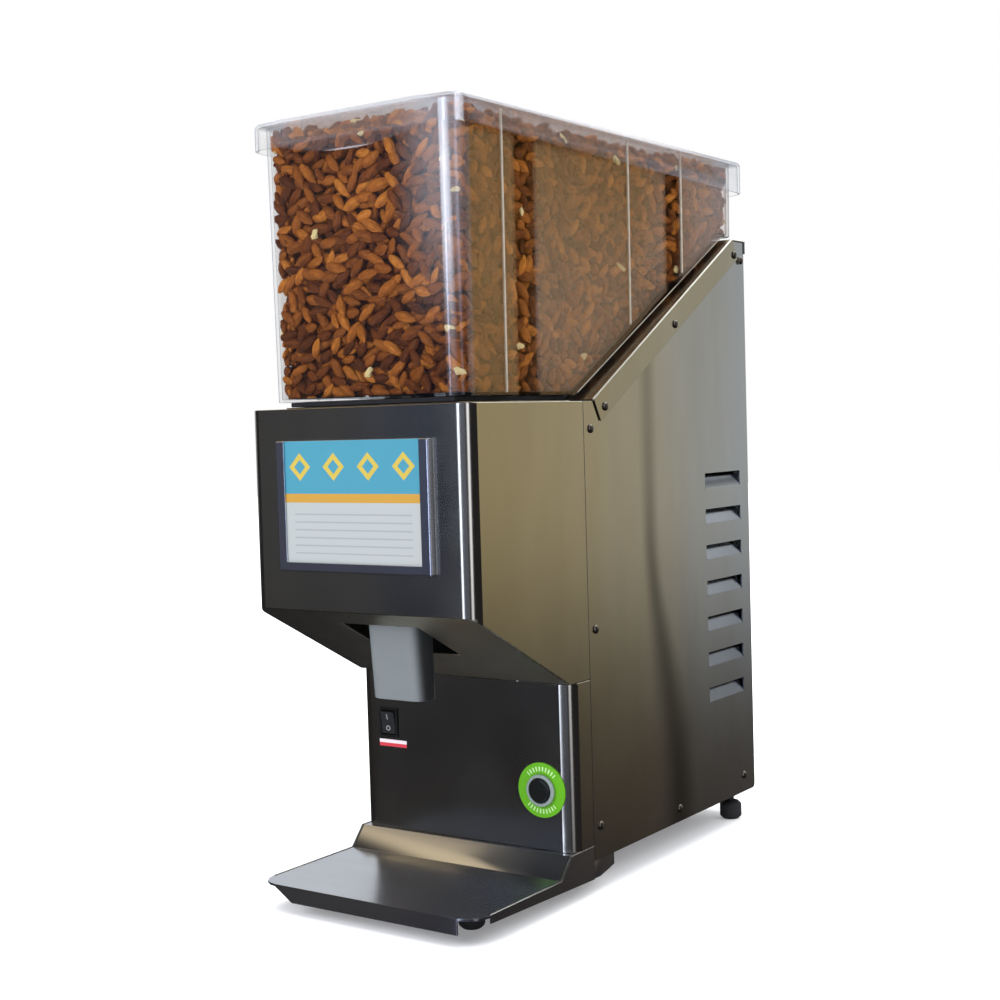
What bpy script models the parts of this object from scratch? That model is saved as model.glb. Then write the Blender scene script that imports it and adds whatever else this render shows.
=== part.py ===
"""Countertop nut butter grinder: steel case with a tub tray, clear hopper with lid, disc mill and motor.

Sizes are in metres. Heights are above the surface that the feet stand on. Inside this file y runs back from
the front plane of the head, and an empty named grinder moves the whole to its bottom centre.
"""
import math

import bmesh
import bpy
from mathutils import Matrix, Vector

# Fits
CLEARANCE = 0.0003
SCREW_CLEARANCE = 0.0008
ROUND_STEPS = 4
TURN_STEPS = 32

# Case
WIDTH = 0.250
SHEET = 0.0015
CASE_BOTTOM = 0.0315
HEAD_RISE = 0.110
HEAD_FALL = 0.073
CHIN_REAR_HEIGHT = 0.204
COLUMN_FRONT = 0.148
COLUMN_SIDE = 0.035
REAR_SPACE = 0.0841
SIDE_CORNER = 0.005
BEND_RADIUS = 0.013
CHIN_OPENING_SIDE = 0.0135
CHIN_OPENING_AHEAD = 0.0115
CHIN_OPENING_BEHIND = 0.020

# Saddle that covers the sloping top
SADDLE_SHEET = 0.0012
SADDLE_SLOPE = math.radians(30)
SADDLE_KNEE_SETBACK = 0.0172
SADDLE_LEVEL_END = 0.029
SADDLE_FRONT = 0.024
SADDLE_TONGUE_INSET = 0.025
SADDLE_FLANGE = 0.024
SADDLE_REAR_LIP = 0.014

# Louvres in the side sheets
LOUVRE_COUNT = 7
LOUVRE_PITCH = 0.0381
LOUVRE_FIRST = 0.1434
LOUVRE_LENGTH = 0.082
LOUVRE_HEIGHT = 0.015
LOUVRE_LEAN = 0.0075
LOUVRE_REAR_MARGIN = 0.021
LOUVRE_KERF = 0.0008

# Rear wall and its vents
RETURN_MARGIN = 0.003
VENT_ROWS = 9
VENT_PITCH = 0.014
VENT_FIRST = 0.360
VENT_LENGTH = 0.150
VENT_HEIGHT = 0.006

# Tub tray
TRAY_FRONT = -0.0105
TRAY_TOP = 0.027
TRAY_SLOPE_LENGTH = 0.017
TRAY_SLOPE_MARGIN = 0.006
TRAY_STEP = 0.046
TRAY_TUCK = 0.038
TRAY_CORNER = 0.022
TRAY_LIP_BOTTOM = 0.012
TRAY_FLANGE_FRONT = 0.0195
TRAY_FLANGE_REAR = 0.0140
TRAY_CHAMFER_LENGTH = 0.026
TRAY_CHAMFER_RISE = 0.0056

# Floor pan and feet
PAN_FLANGE = 0.020
FOOT_RADIUS = 0.012
FOOT_HEIGHT = 0.020
FOOT_STEM_RADIUS = 0.004
FOOT_FRONT = 0.045
FOOT_FRONT_INSET = 0.045
FOOT_REAR_MARGIN = 0.026
FOOT_REAR_INSET = 0.0175

# Hopper and its lid
LID_WALL = 0.0025
LID_INSET = 0.0055
LID_AHEAD = 0.008
LID_BEHIND = 0.021
LID_CORNER = 0.018
LID_EDGE_ROUND = 0.004
LID_SKIRT_FRONT_DEPTH = 0.024
LID_SKIRT_REAR_DEPTH = 0.034
LID_TAB_INSET = 0.0395
LID_TAB_DROP = 0.011
HOPPER_WALL = 0.003
HOPPER_FRONT = 0.013
HOPPER_REAR_DEPTH = 0.0848
HOPPER_FRONT_INSET = 0.013
HOPPER_MIDDLE_INSET = 0.016
HOPPER_REAR_INSET = 0.009
HOPPER_STEP_START = 0.081
HOPPER_STEP_END = 0.133
HOPPER_JOG_START_BACK = 0.147
HOPPER_JOG_END_BACK = 0.127
HOPPER_CORNER = 0.017
HOPPER_DRAFT = 0.0021
GASKET_HEIGHT = 0.0042
GASKET_WIDTH = 0.010
GASKET_INSET = 0.006
GASKET_REAR_MARGIN = 0.018
OUTLET_CENTRE = 0.125
OUTLET_WIDTH = 0.076
OUTLET_LENGTH = 0.064
OUTLET_DROP = 0.018
FILL_DROP = 0.0107
LUMP_PITCH = 0.048
LUMP_DEPTH = 0.008

# Mill
SHAFT_HEIGHT = 0.355
MILL_WALL = 0.008
CHAMBER_RADIUS = 0.050
CHAMBER_FRONT = 0.030
CHAMBER_DEPTH = 0.028
BARREL_RADIUS = 0.034
MILL_TAIL = 0.041
MILL_FLANGE = 0.012
MILL_COVER = 0.010
DISC_RIM_GAP = 0.0015
DISC_THICKNESS = 0.008
DISC_GAP = 0.002
FIXED_DISC_EYE = 0.020
DISC_GROOVES = 16
DISC_GROOVE_WIDTH = 0.003
DISC_GROOVE_DEPTH = 0.0025
AUGER_GAP = 0.0018
AUGER_CORE = 0.011
AUGER_PITCH = 0.036
AUGER_TURNS = 3
AUGER_FLIGHT = 0.004
SPIGOT_RADIUS = 0.008

# Spout
SPOUT_HALF = 0.0305
SPOUT_FRONT_TOP = 0.0375
SPOUT_FRONT_BOTTOM = 0.047
SPOUT_REAR = 0.070
SPOUT_DROP = 0.007
SPOUT_SEAT = 0.0065
SPOUT_WALL = 0.0025
SPOUT_CORNER = 0.012
SPOUT_TAPER = 0.0015

# Motor
MOTOR_RADIUS = 0.0825
MOTOR_FIN = 0.005
MOTOR_FINS = 28
MOTOR_WALL = 0.0345
MOTOR_FRAME = 0.150
MOTOR_BELL = 0.030
BEARING_RADIUS = 0.0172
BEARING_WIDTH = 0.012
SHAFT_RADIUS = 0.0095
ROTOR_GAP = 0.0015
ROTOR_MARGIN = 0.018
SHAFT_TAIL = 0.020
FAN_TIP_GAP = 0.0145
FAN_BLADES = 8
FAN_WIDTH = 0.014
COWL_DEPTH = 0.034
COWL_SHEET = 0.0012
CAPACITOR_RADIUS = 0.019
CAPACITOR_LENGTH = 0.075
SHELF_DROP = 0.0105
SHELF_FLANGE = 0.022
SHELF_MARGIN = 0.012
CRADLE_RISE = 0.024
CRADLE_WIDTH = 0.016

# Sign holder and card
HOLDER_WIDTH = 0.174
HOLDER_RISE = 0.036
HOLDER_HEIGHT = 0.118
HOLDER_DEPTH = 0.007
HOLDER_LIP = 0.0012
CARD_THICKNESS = 0.0006
CARD_SHOWN_WIDTH = 0.154
HOLDER_SILL = 0.0085
CARD_TUCK = 0.002

# Power switch
SWITCH_INSET = 0.035
SWITCH_ABOVE_BUTTON = 0.049
BEZEL_WIDTH = 0.022
BEZEL_TALL = 0.030
BEZEL_PROUD = 0.002
SWITCH_BODY_DEPTH = 0.022
ROCKER_WIDTH = 0.0165
ROCKER_TALL = 0.0235
ROCKER_PEAK = 0.0036
ROCKER_TILT = math.radians(8)

# Start button
BUTTON_INSET = 0.0345
BUTTON_ABOVE_TRAY = 0.057
RING_RADIUS = 0.026
RING_THICKNESS = 0.0008
COLLAR_RADIUS = 0.0152
COLLAR_PROUD = 0.0035
COLLAR_NECK = 0.0132
COLLAR_DEPTH = 0.014
CAP_RADIUS = 0.0118
CAP_PROUD = 0.0055
CAP_LENGTH = 0.0085
CAP_STEM = 0.004
BUTTON_TRAVEL = 0.004
CONTACT_BLOCK = 0.028
CONTACT_DEPTH = 0.032

# Power inlet
INLET_INSET = 0.055
INLET_RISE = 0.0585
INLET_FLANGE_WIDTH = 0.050
INLET_FLANGE_TALL = 0.0245
INLET_BODY_WIDTH = 0.0275
INLET_BODY_TALL = 0.0200
INLET_SOCKET_WIDTH = 0.0240
INLET_SOCKET_TALL = 0.0160
INLET_SOCKET_DEPTH = 0.018
INLET_DEPTH = 0.028
INLET_FLANGE = 0.003
PIN_SPACING = 0.007
PIN_LENGTH = 0.011

# Case screws
SCREW_HEAD_RADIUS = 0.0042
SCREW_HEAD_HEIGHT = 0.0020
SCREW_HEAD_TAPER = 0.7
SEAM_SCREW_SETBACK = 0.012
SEAM_SCREW_RISE = 0.0315
SEAM_SCREW_ABOVE_CHIN = 0.046
SEAM_SCREW_TOP_DROP = 0.026
SADDLE_SCREW_DROP = 0.016
SADDLE_SCREW_RUNS = (0.014, 0.179, 0.338)

# Derived widths
HALF = WIDTH / 2
INNER_HALF = HALF - SHEET - CLEARANCE
SADDLE_HALF = HALF + CLEARANCE + SADDLE_SHEET
SADDLE_TONGUE_HALF = HALF - SADDLE_TONGUE_INSET
FOOT_FRONT_HALF = HALF - FOOT_FRONT_INSET
FOOT_REAR_HALF = HALF - FOOT_REAR_INSET
LID_HALF = HALF - LID_INSET
LID_TAB_HALF = LID_HALF - LID_TAB_INSET
HOPPER_FRONT_HALF = HALF - HOPPER_FRONT_INSET
HOPPER_MIDDLE_HALF = HALF - HOPPER_MIDDLE_INSET
HOPPER_REAR_HALF = HALF - HOPPER_REAR_INSET
GASKET_HALF = SADDLE_TONGUE_HALF - GASKET_INSET
CHIN_OPENING_HALF = SPOUT_HALF + CHIN_OPENING_SIDE
SWITCH_X = SWITCH_INSET - HALF
BUTTON_X = HALF - BUTTON_INSET
INLET_X = HALF - INLET_INSET

# Derived places from front to rear
SEAM = COLUMN_FRONT + COLUMN_SIDE
TRAY_SLOPE_REAR = COLUMN_FRONT - TRAY_SLOPE_MARGIN
TRAY_SLOPE_FRONT = TRAY_SLOPE_REAR - TRAY_SLOPE_LENGTH
TRAY_REAR = SEAM + TRAY_TUCK
CHIN_OPENING_FRONT = SPOUT_FRONT_TOP - CHIN_OPENING_AHEAD
CHIN_OPENING_REAR = SPOUT_REAR + CHIN_OPENING_BEHIND
CHAMBER_REAR = CHAMBER_FRONT + CHAMBER_DEPTH
FIXED_DISC_REAR = CHAMBER_REAR - CLEARANCE
TURNING_DISC_REAR = FIXED_DISC_REAR - DISC_THICKNESS - DISC_GAP
MILL_REAR = OUTLET_CENTRE + OUTLET_LENGTH / 2 + MILL_TAIL
SHAFT_FRONT = MILL_REAR - MILL_FLANGE
MOTOR_FRONT = MILL_REAR + CLEARANCE
FRAME_FRONT = MOTOR_FRONT + MOTOR_BELL + CLEARANCE
FRAME_REAR = FRAME_FRONT + MOTOR_FRAME
MOTOR_REAR = FRAME_REAR + CLEARANCE + MOTOR_BELL
CASE_REAR = MOTOR_REAR + COWL_DEPTH + REAR_SPACE
SADDLE_KNEE = SEAM + SADDLE_KNEE_SETBACK
SADDLE_CREST = CASE_REAR - SADDLE_LEVEL_END
GASKET_REAR = SADDLE_CREST - GASKET_REAR_MARGIN
FOOT_REAR = CASE_REAR - FOOT_REAR_MARGIN
REAR_RETURN = LOUVRE_REAR_MARGIN - RETURN_MARGIN
HOPPER_REAR = CASE_REAR
HOPPER_JOG_START = HOPPER_REAR - HOPPER_JOG_START_BACK
HOPPER_JOG_END = HOPPER_REAR - HOPPER_JOG_END_BACK
LID_FRONT = HOPPER_FRONT - LID_AHEAD
LID_REAR = HOPPER_REAR + LID_BEHIND
MIDDLE = (TRAY_FRONT + LID_REAR) / 2

# Derived heights and radii
BARREL_OUTER = BARREL_RADIUS + MILL_WALL
CHAMBER_OUTER = CHAMBER_RADIUS + MILL_WALL
DISC_RADIUS = CHAMBER_RADIUS - DISC_RIM_GAP
AUGER_RADIUS = BARREL_RADIUS - AUGER_GAP
MOTOR_BORE = MOTOR_RADIUS - MOTOR_WALL
ROTOR_RADIUS = MOTOR_BORE - ROTOR_GAP
FAN_RADIUS = MOTOR_RADIUS - FAN_TIP_GAP
HEAD_TOP = SHAFT_HEIGHT + HEAD_RISE
HEAD_BOTTOM = SHAFT_HEIGHT - HEAD_FALL
DECK_HEIGHT = HEAD_TOP + CLEARANCE + SADDLE_SHEET
COLUMN_BOTTOM = TRAY_STEP + CLEARANCE
SHELF_HEIGHT = SHAFT_HEIGHT - MOTOR_RADIUS - SHELF_DROP
SPOUT_TOP = HEAD_BOTTOM + SPOUT_SEAT
SPOUT_BOTTOM = CHIN_REAR_HEIGHT - SPOUT_DROP
HOLDER_BOTTOM = HEAD_BOTTOM + HOLDER_RISE
CARD_SHOWN_BOTTOM = HOLDER_BOTTOM + HOLDER_SILL
BUTTON_HEIGHT = TRAY_STEP + BUTTON_ABOVE_TRAY
SWITCH_HEIGHT = BUTTON_HEIGHT + SWITCH_ABOVE_BUTTON
INLET_HEIGHT = CASE_BOTTOM + INLET_RISE
SEAM_SCREW_HEIGHTS = (CASE_BOTTOM + SEAM_SCREW_RISE, CHIN_REAR_HEIGHT + SEAM_SCREW_ABOVE_CHIN,
                      HEAD_TOP - SEAM_SCREW_TOP_DROP)
HOPPER_SEAT = GASKET_HEIGHT + 2 * CLEARANCE
CREST_HEIGHT = DECK_HEIGHT + (SADDLE_CREST - SADDLE_KNEE) * math.tan(SADDLE_SLOPE)
HOPPER_TOP = CREST_HEIGHT + HOPPER_REAR_DEPTH
FILL_TOP = HOPPER_TOP - FILL_DROP
LID_TOP = HOPPER_TOP + CLEARANCE + LID_WALL
LID_SKIRT_FRONT = LID_TOP - LID_SKIRT_FRONT_DEPTH
LID_SKIRT_REAR = LID_TOP - LID_SKIRT_REAR_DEPTH

# Plane name to the matrix that stands a flat drawing up, and the axis it is thickened along
PLANES = {
    "XY": (Matrix.Identity(4), Vector((0, 0, 1))),
    "XZ": (Matrix(((1, 0, 0, 0), (0, 0, -1, 0), (0, 1, 0, 0), (0, 0, 0, 1))), Vector((0, 1, 0))),
    "YZ": (Matrix(((0, 0, 1, 0), (1, 0, 0, 0), (0, 1, 0, 0), (0, 0, 0, 1))), Vector((1, 0, 0))),
}

# Material name to colour, roughness and metallic value
FINISHES = {
    "case_steel": ((0.42, 0.41, 0.38), 0.32, 1.0),
    "tray_steel": ((0.50, 0.49, 0.47), 0.28, 1.0),
    "galvanised_steel": ((0.55, 0.56, 0.57), 0.5, 1.0),
    "screw_steel": ((0.45, 0.44, 0.42), 0.3, 1.0),
    "tool_steel": ((0.35, 0.35, 0.36), 0.35, 1.0),
    "cast_aluminium": ((0.62, 0.63, 0.64), 0.55, 1.0),
    "spout_plastic": ((0.45, 0.48, 0.49), 0.4, 0.0),
    "clear_plastic": ((0.90, 0.92, 0.96), 0.08, 0.0),
    "black_plastic": ((0.02, 0.02, 0.02), 0.35, 0.0),
    "pale_plastic": ((0.55, 0.60, 0.60), 0.35, 0.0),
    "ring_green": ((0.13, 0.52, 0.02), 0.45, 0.0),
    "card": ((0.62, 0.66, 0.66), 0.5, 0.0),
    "motor_paint": ((0.08, 0.09, 0.10), 0.5, 0.0),
    "rubber": ((0.03, 0.03, 0.03), 0.8, 0.0),
    "gasket_rubber": ((0.05, 0.05, 0.05), 0.7, 0.0),
    "nuts": ((0.30, 0.12, 0.05), 0.6, 0.0),
}


# Scene set-up


def clear_scene():
    """Removes every object, then makes the two collections and the empty that carries the grinder."""
    for existing in list(bpy.data.objects):
        bpy.data.objects.remove(existing, do_unlink=True)
    for name in ("nut_butter_grinder", "cutters"):
        collection = bpy.data.collections.new(name)
        bpy.context.scene.collection.children.link(collection)
    grinder = bpy.data.objects.new("grinder", None)
    grinder.location = (0, -MIDDLE, 0)
    bpy.data.collections["nut_butter_grinder"].objects.link(grinder)


def finish(name):
    """Returns the Principled material of that name, made on first use."""
    found = bpy.data.materials.get(name)
    if found:
        return found
    colour, roughness, metallic = FINISHES[name]
    made = bpy.data.materials.new(name)
    made.use_nodes = True
    shader = made.node_tree.nodes["Principled BSDF"]
    shader.inputs["Base Color"].default_value = (*colour, 1)
    shader.inputs["Roughness"].default_value = roughness
    shader.inputs["Metallic"].default_value = metallic
    return made


def place(name, mesh, material=None):
    """Links a mesh as a part of the grinder, or as a cutter where it has no material."""
    made = bpy.data.objects.new(name, mesh)
    made.parent = bpy.data.objects["grinder"]
    if material:
        if not mesh.materials:
            mesh.materials.append(finish(material))
        bpy.data.collections["nut_butter_grinder"].objects.link(made)
    else:
        made.hide_render = True
        made.display_type = "WIRE"
        bpy.data.collections["cutters"].objects.link(made)
    return made


def mesh_from(bm, name):
    """Writes a bmesh to a new mesh with its faces turned outward."""
    bmesh.ops.recalc_face_normals(bm, faces=bm.faces)
    mesh = bpy.data.meshes.new(name)
    bm.to_mesh(mesh)
    bm.free()
    return mesh


def smooth(made, angle=35):
    """Shades a round piece smooth up to the given angle between faces."""
    made.data.shade_smooth()
    made.data.set_sharp_from_angle(angle=math.radians(angle))
    return made


def pivot(made, point):
    """Moves an object's origin to a point of the grinder without moving its shape."""
    made.data.transform(Matrix.Translation(-Vector(point)))
    made.location = point
    return made


def combine(target, tool, operation):
    """Adds a Boolean with another object."""
    modifier = target.modifiers.new(tool.name, "BOOLEAN")
    modifier.object = tool
    modifier.operation = operation
    modifier.solver = "EXACT"
    return target


def cut(target, *tools):
    """Takes each tool's shape out of the target."""
    for tool in tools:
        combine(target, tool, "DIFFERENCE")
    return target


def thicken(made, thickness):
    """Gives a surface its wall, grown to the side away from its faces."""
    modifier = made.modifiers.new("wall", "SOLIDIFY")
    modifier.thickness = thickness
    modifier.offset = -1
    modifier.use_even_offset = True
    modifier.use_quality_normals = True
    return made


# Drawing


def turn(vector, angle):
    """Turns a flat vector by an angle."""
    return Vector((vector.x * math.cos(angle) - vector.y * math.sin(angle),
                   vector.x * math.sin(angle) + vector.y * math.cos(angle)))


def rounded(corners, closed=True, steps=ROUND_STEPS):
    """Points of an outline whose corners are (a, b) or (a, b, radius)."""
    flat = [Vector(corner[:2]) for corner in corners]
    points = []
    for index, corner in enumerate(corners):
        here = flat[index]
        at_end = not closed and index in (0, len(corners) - 1)
        if len(corner) == 2 or at_end:
            points.append(here)
            continue
        back = (flat[index - 1] - here).normalized()
        ahead = (flat[(index + 1) % len(flat)] - here).normalized()
        half = back.angle(ahead) / 2
        centre = here + (back + ahead).normalized() * corner[2] / math.sin(half)
        start = here + back * corner[2] / math.tan(half) - centre
        end = here + ahead * corner[2] / math.tan(half) - centre
        sweep = math.atan2(start.x * end.y - start.y * end.x, start.dot(end))
        points += [centre + turn(start, sweep * step / steps) for step in range(steps + 1)]
    return points


def arc(centre, radius, start, end, steps):
    """Points on a circle from one angle to another, in degrees."""
    angles = [math.radians(start + (end - start) * step / steps) for step in range(steps + 1)]
    return [Vector((centre[0] + radius * math.cos(a), centre[1] + radius * math.sin(a))) for a in angles]


def circle(centre, radius, steps=TURN_STEPS):
    """Points of a full circle."""
    return arc(centre, radius, 0, 360 * (steps - 1) / steps, steps - 1)


def rectangle(low, high):
    """Corners of a rectangle."""
    return [(low[0], low[1]), (high[0], low[1]), (high[0], high[1]), (low[0], high[1])]


def mirrored(half):
    """Closes a right half outline with its mirror image, front to rear and back."""
    return half + [(-corner[0], *corner[1:]) for corner in reversed(half)]


def inset(corners, distance):
    """Moves each side of a counter-clockwise outline inward and shortens its corner radii to match."""
    moved = []
    for index, corner in enumerate(corners):
        here = Vector(corner[:2])
        before = (here - Vector(corners[index - 1][:2])).normalized()
        after = (Vector(corners[(index + 1) % len(corners)][:2]) - here).normalized()
        inward = Vector((-before.y - after.y, before.x + after.x)).normalized()
        lengthened = distance / inward.dot(Vector((-before.y, before.x)))
        point = here + inward * lengthened
        moved.append((point.x, point.y, *[radius - distance for radius in corner[2:]]))
    return moved


# Solids


def plate(name, loops, plane, low, high, material=None):
    """A flat outline with holes, thickened between two positions on its plane's axis."""
    drawing = bpy.data.curves.new(name, "CURVE")
    drawing.dimensions = "2D"
    drawing.fill_mode = "BOTH"
    drawing.extrude = (high - low) / 2
    for loop in loops:
        spline = drawing.splines.new("POLY")
        spline.points.add(len(loop) - 1)
        for point, place_on in zip(spline.points, loop):
            point.co = (place_on[0], place_on[1], 0, 1)
        spline.use_cyclic_u = True
    guide = bpy.data.objects.new(name, drawing)
    bpy.context.scene.collection.objects.link(guide)
    upright, axis = PLANES[plane]
    guide.matrix_world = Matrix.Translation(axis * (low + high) / 2) @ upright
    evaluated = guide.evaluated_get(bpy.context.evaluated_depsgraph_get())
    filled = bpy.data.meshes.new_from_object(evaluated)
    filled.transform(guide.matrix_world)
    bpy.data.objects.remove(guide, do_unlink=True)
    bm = bmesh.new()
    bm.from_mesh(filled)
    bmesh.ops.remove_doubles(bm, verts=bm.verts, dist=0.00001)
    return place(name, mesh_from(bm, name), material)


def box(name, low, high, material=None):
    """A block between two corners."""
    bm = bmesh.new()
    bmesh.ops.create_cube(bm, size=1)
    size = Vector(high) - Vector(low)
    bmesh.ops.scale(bm, verts=bm.verts, vec=size)
    bmesh.ops.translate(bm, verts=bm.verts, vec=Vector(low) + size / 2)
    return place(name, mesh_from(bm, name), material)


def cylinder(bm, centre, radius, low, high, axis="Y", segments=TURN_STEPS, end_radius=None):
    """Adds a cylinder or cone between two positions on an axis, about a centre given on the other two."""
    made = bmesh.ops.create_cone(
        bm, cap_ends=True, segments=segments, radius1=radius,
        radius2=radius if end_radius is None else end_radius, depth=high - low)
    middle = (low + high) / 2
    if axis == "X":
        lay = Matrix.Rotation(math.radians(90), 4, "Y")
        shift = (middle, *centre)
    elif axis == "Y":
        lay = Matrix.Rotation(math.radians(-90), 4, "X")
        shift = (centre[0], middle, centre[1])
    else:
        lay = Matrix.Identity(4)
        shift = (*centre, middle)
    bmesh.ops.transform(bm, verts=made["verts"], matrix=Matrix.Translation(shift) @ lay)
    return made["verts"]


def rod(name, centre, radius, low, high, axis="Y", material=None, segments=TURN_STEPS):
    """A plain cylinder as its own object."""
    bm = bmesh.new()
    cylinder(bm, centre, radius, low, high, axis, segments)
    return place(name, mesh_from(bm, name), material)


def turned(name, profile, centre, material=None, steps=TURN_STEPS, axis="Y"):
    """A profile of (radius, position) points turned about a line along Y or Z."""
    area = sum(a[0] * b[1] - b[0] * a[1] for a, b in zip(profile, profile[1:] + profile[:1]))
    if area > 0:
        profile = profile[::-1]
    bm = bmesh.new()
    verts = [bm.verts.new((radius, 0, position)) for radius, position in profile]
    closed = profile[0][0] > 0
    for index in range(len(verts) - (0 if closed else 1)):
        bm.edges.new((verts[index], verts[(index + 1) % len(verts)]))
    mesh = bpy.data.meshes.new(name)
    bm.to_mesh(mesh)
    bm.free()
    made = place(name, mesh, material)
    if axis == "Y":
        made.rotation_euler = (math.radians(-90), 0, 0)
        made.location = (centre[0], 0, centre[1])
    else:
        made.location = (*centre, 0)
    screw = made.modifiers.new("turn", "SCREW")
    screw.steps = steps
    screw.render_steps = steps
    screw.use_merge_vertices = True
    screw.merge_threshold = 0.00001
    return made


def face_away(bm, inside):
    """Turns every face of an open surface away from an inner point."""
    bmesh.ops.recalc_face_normals(bm, faces=bm.faces)
    outward = sum(face.normal.dot(face.calc_center_median() - Vector(inside)) * face.calc_area()
                  for face in bm.faces)
    if outward < 0:
        bmesh.ops.reverse_faces(bm, faces=bm.faces)


def open_surface(name, bm, thickness, inside, material=None):
    """Makes a sheet metal or moulded wall out of an open surface, thickened toward its inside."""
    face_away(bm, inside)
    mesh = bpy.data.meshes.new(name)
    bm.to_mesh(mesh)
    bm.free()
    return thicken(place(name, mesh, material), thickness)


def extrude_edges(bm, edges, move):
    """Extrudes edges and moves each new corner to where the given function puts it."""
    made = bmesh.ops.extrude_edge_only(bm, edges=edges)["geom"]
    verts = [item for item in made if isinstance(item, bmesh.types.BMVert)]
    for vert in verts:
        vert.co = move(vert.co)
    return [item for item in made if isinstance(item, bmesh.types.BMEdge)
            and all(vert in verts for vert in item.verts)]


def bent_sheet(name, corners, plane, low, high, inside, material, thickness=SHEET):
    """A sheet bent along a profile and straight along the plane's axis."""
    upright, axis = PLANES[plane]
    bm = bmesh.new()
    points = rounded(corners, closed=False)
    verts = [bm.verts.new(upright @ Vector((*point, 0)) + axis * low) for point in points]
    edges = [bm.edges.new(pair) for pair in zip(verts, verts[1:])]
    extrude_edges(bm, edges, lambda place_at: place_at + axis * (high - low))
    return open_surface(name, bm, thickness, inside, material)


def deck_line(y, offset):
    """Height of a line at a distance above the top face of the saddle, over a given y."""
    reach = SADDLE_CREST - SADDLE_KNEE
    knee = SADDLE_KNEE - offset * math.tan(SADDLE_SLOPE / 2)
    return DECK_HEIGHT + offset + max(0.0, min(reach, y - knee)) * math.tan(SADDLE_SLOPE)


def deck_knees(offset):
    """The y of both bends of that line."""
    shift = offset * math.tan(SADDLE_SLOPE / 2)
    return SADDLE_KNEE - shift, SADDLE_CREST - shift


# Case


def head_cover():
    """Front and top of the head with its chin, one folded sheet with two rounded upright bends."""
    bm = bmesh.new()
    profile = ((0, HEAD_BOTTOM), (0, HEAD_TOP), (SEAM, HEAD_TOP), (SEAM, CHIN_REAR_HEIGHT),
               (COLUMN_FRONT, CHIN_REAR_HEIGHT))
    end = bm.faces.new([bm.verts.new((-HALF, y, z)) for y, z in profile])
    side = bmesh.ops.extrude_face_region(bm, geom=[end])["geom"]
    bmesh.ops.translate(bm, verts=[item for item in side if isinstance(item, bmesh.types.BMVert)],
                        vec=(WIDTH, 0, 0))
    bmesh.ops.recalc_face_normals(bm, faces=bm.faces)
    upright = [edge for edge in bm.edges if all(abs(vert.co.y) < CLEARANCE for vert in edge.verts)
               and abs(edge.verts[0].co.x - edge.verts[1].co.x) < CLEARANCE]
    bmesh.ops.bevel(bm, geom=upright, offset=BEND_RADIUS, segments=ROUND_STEPS, profile=0.5,
                    affect="EDGES", clamp_overlap=False)
    lobes_under = [face for face in bm.faces if face.normal.z < -0.99]
    back = [face for face in bm.faces if face.normal.y > 0.99]
    bmesh.ops.delete(bm, geom=lobes_under + back, context="FACES")
    made = open_surface("head_cover", bm, SHEET, (0, SEAM / 2, (HEAD_TOP + HEAD_BOTTOM) / 2), "case_steel")
    chin_hole = box("chin_hole", (-CHIN_OPENING_HALF, CHIN_OPENING_FRONT, CHIN_REAR_HEIGHT),
                    (CHIN_OPENING_HALF, CHIN_OPENING_REAR, HEAD_BOTTOM + SHEET))
    cut(made, chin_hole, bpy.data.objects["throat_hole"])
    return smooth(made)


def column_front():
    """Front of the column, wrapped round both corners, with holes for the switch and the button."""
    profile = ((-HALF, SEAM - CLEARANCE), (-HALF, COLUMN_FRONT, BEND_RADIUS),
               (HALF, COLUMN_FRONT, BEND_RADIUS), (HALF, SEAM - CLEARANCE))
    made = bent_sheet("column_front", profile, "XY", COLUMN_BOTTOM, CHIN_REAR_HEIGHT - CLEARANCE,
                      (0, SEAM, COLUMN_BOTTOM), "case_steel")
    hole_depth = (COLUMN_FRONT - SHEET, COLUMN_FRONT + 2 * SHEET)
    switch_hole = box("switch_hole",
                      (SWITCH_X - switch_neck_half()[0] - CLEARANCE, hole_depth[0],
                       SWITCH_HEIGHT - switch_neck_half()[1] - CLEARANCE),
                      (SWITCH_X + switch_neck_half()[0] + CLEARANCE, hole_depth[1],
                       SWITCH_HEIGHT + switch_neck_half()[1] + CLEARANCE))
    button_hole = rod("button_hole", (BUTTON_X, BUTTON_HEIGHT), COLLAR_NECK + CLEARANCE, *hole_depth)
    return smooth(cut(made, switch_hole, button_hole))


def louvre_window(index):
    """Outline of one louvre's opening, with a small relief at each end of its fold."""
    rear = CASE_REAR - LOUVRE_REAR_MARGIN
    front = rear - LOUVRE_LENGTH
    fold = LOUVRE_FIRST + index * LOUVRE_PITCH
    relief = fold - SHEET
    return [(front, fold + LOUVRE_HEIGHT), (front, relief), (front + LOUVRE_KERF, relief),
            (front + LOUVRE_KERF, fold), (rear - LOUVRE_KERF, fold), (rear - LOUVRE_KERF, relief),
            (rear, relief), (rear, fold + LOUVRE_HEIGHT)]


def side_outline():
    """Outline of a side sheet under the saddle."""
    top = -SADDLE_SHEET - CLEARANCE
    knee, crest = deck_knees(top)
    front = SEAM + CLEARANCE
    crest_top = deck_line(crest, top)
    return rounded([(front, CASE_BOTTOM), (CASE_REAR, CASE_BOTTOM, SIDE_CORNER), (CASE_REAR, crest_top),
                    (crest, crest_top), (knee, HEAD_TOP), (front, HEAD_TOP)])


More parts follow.
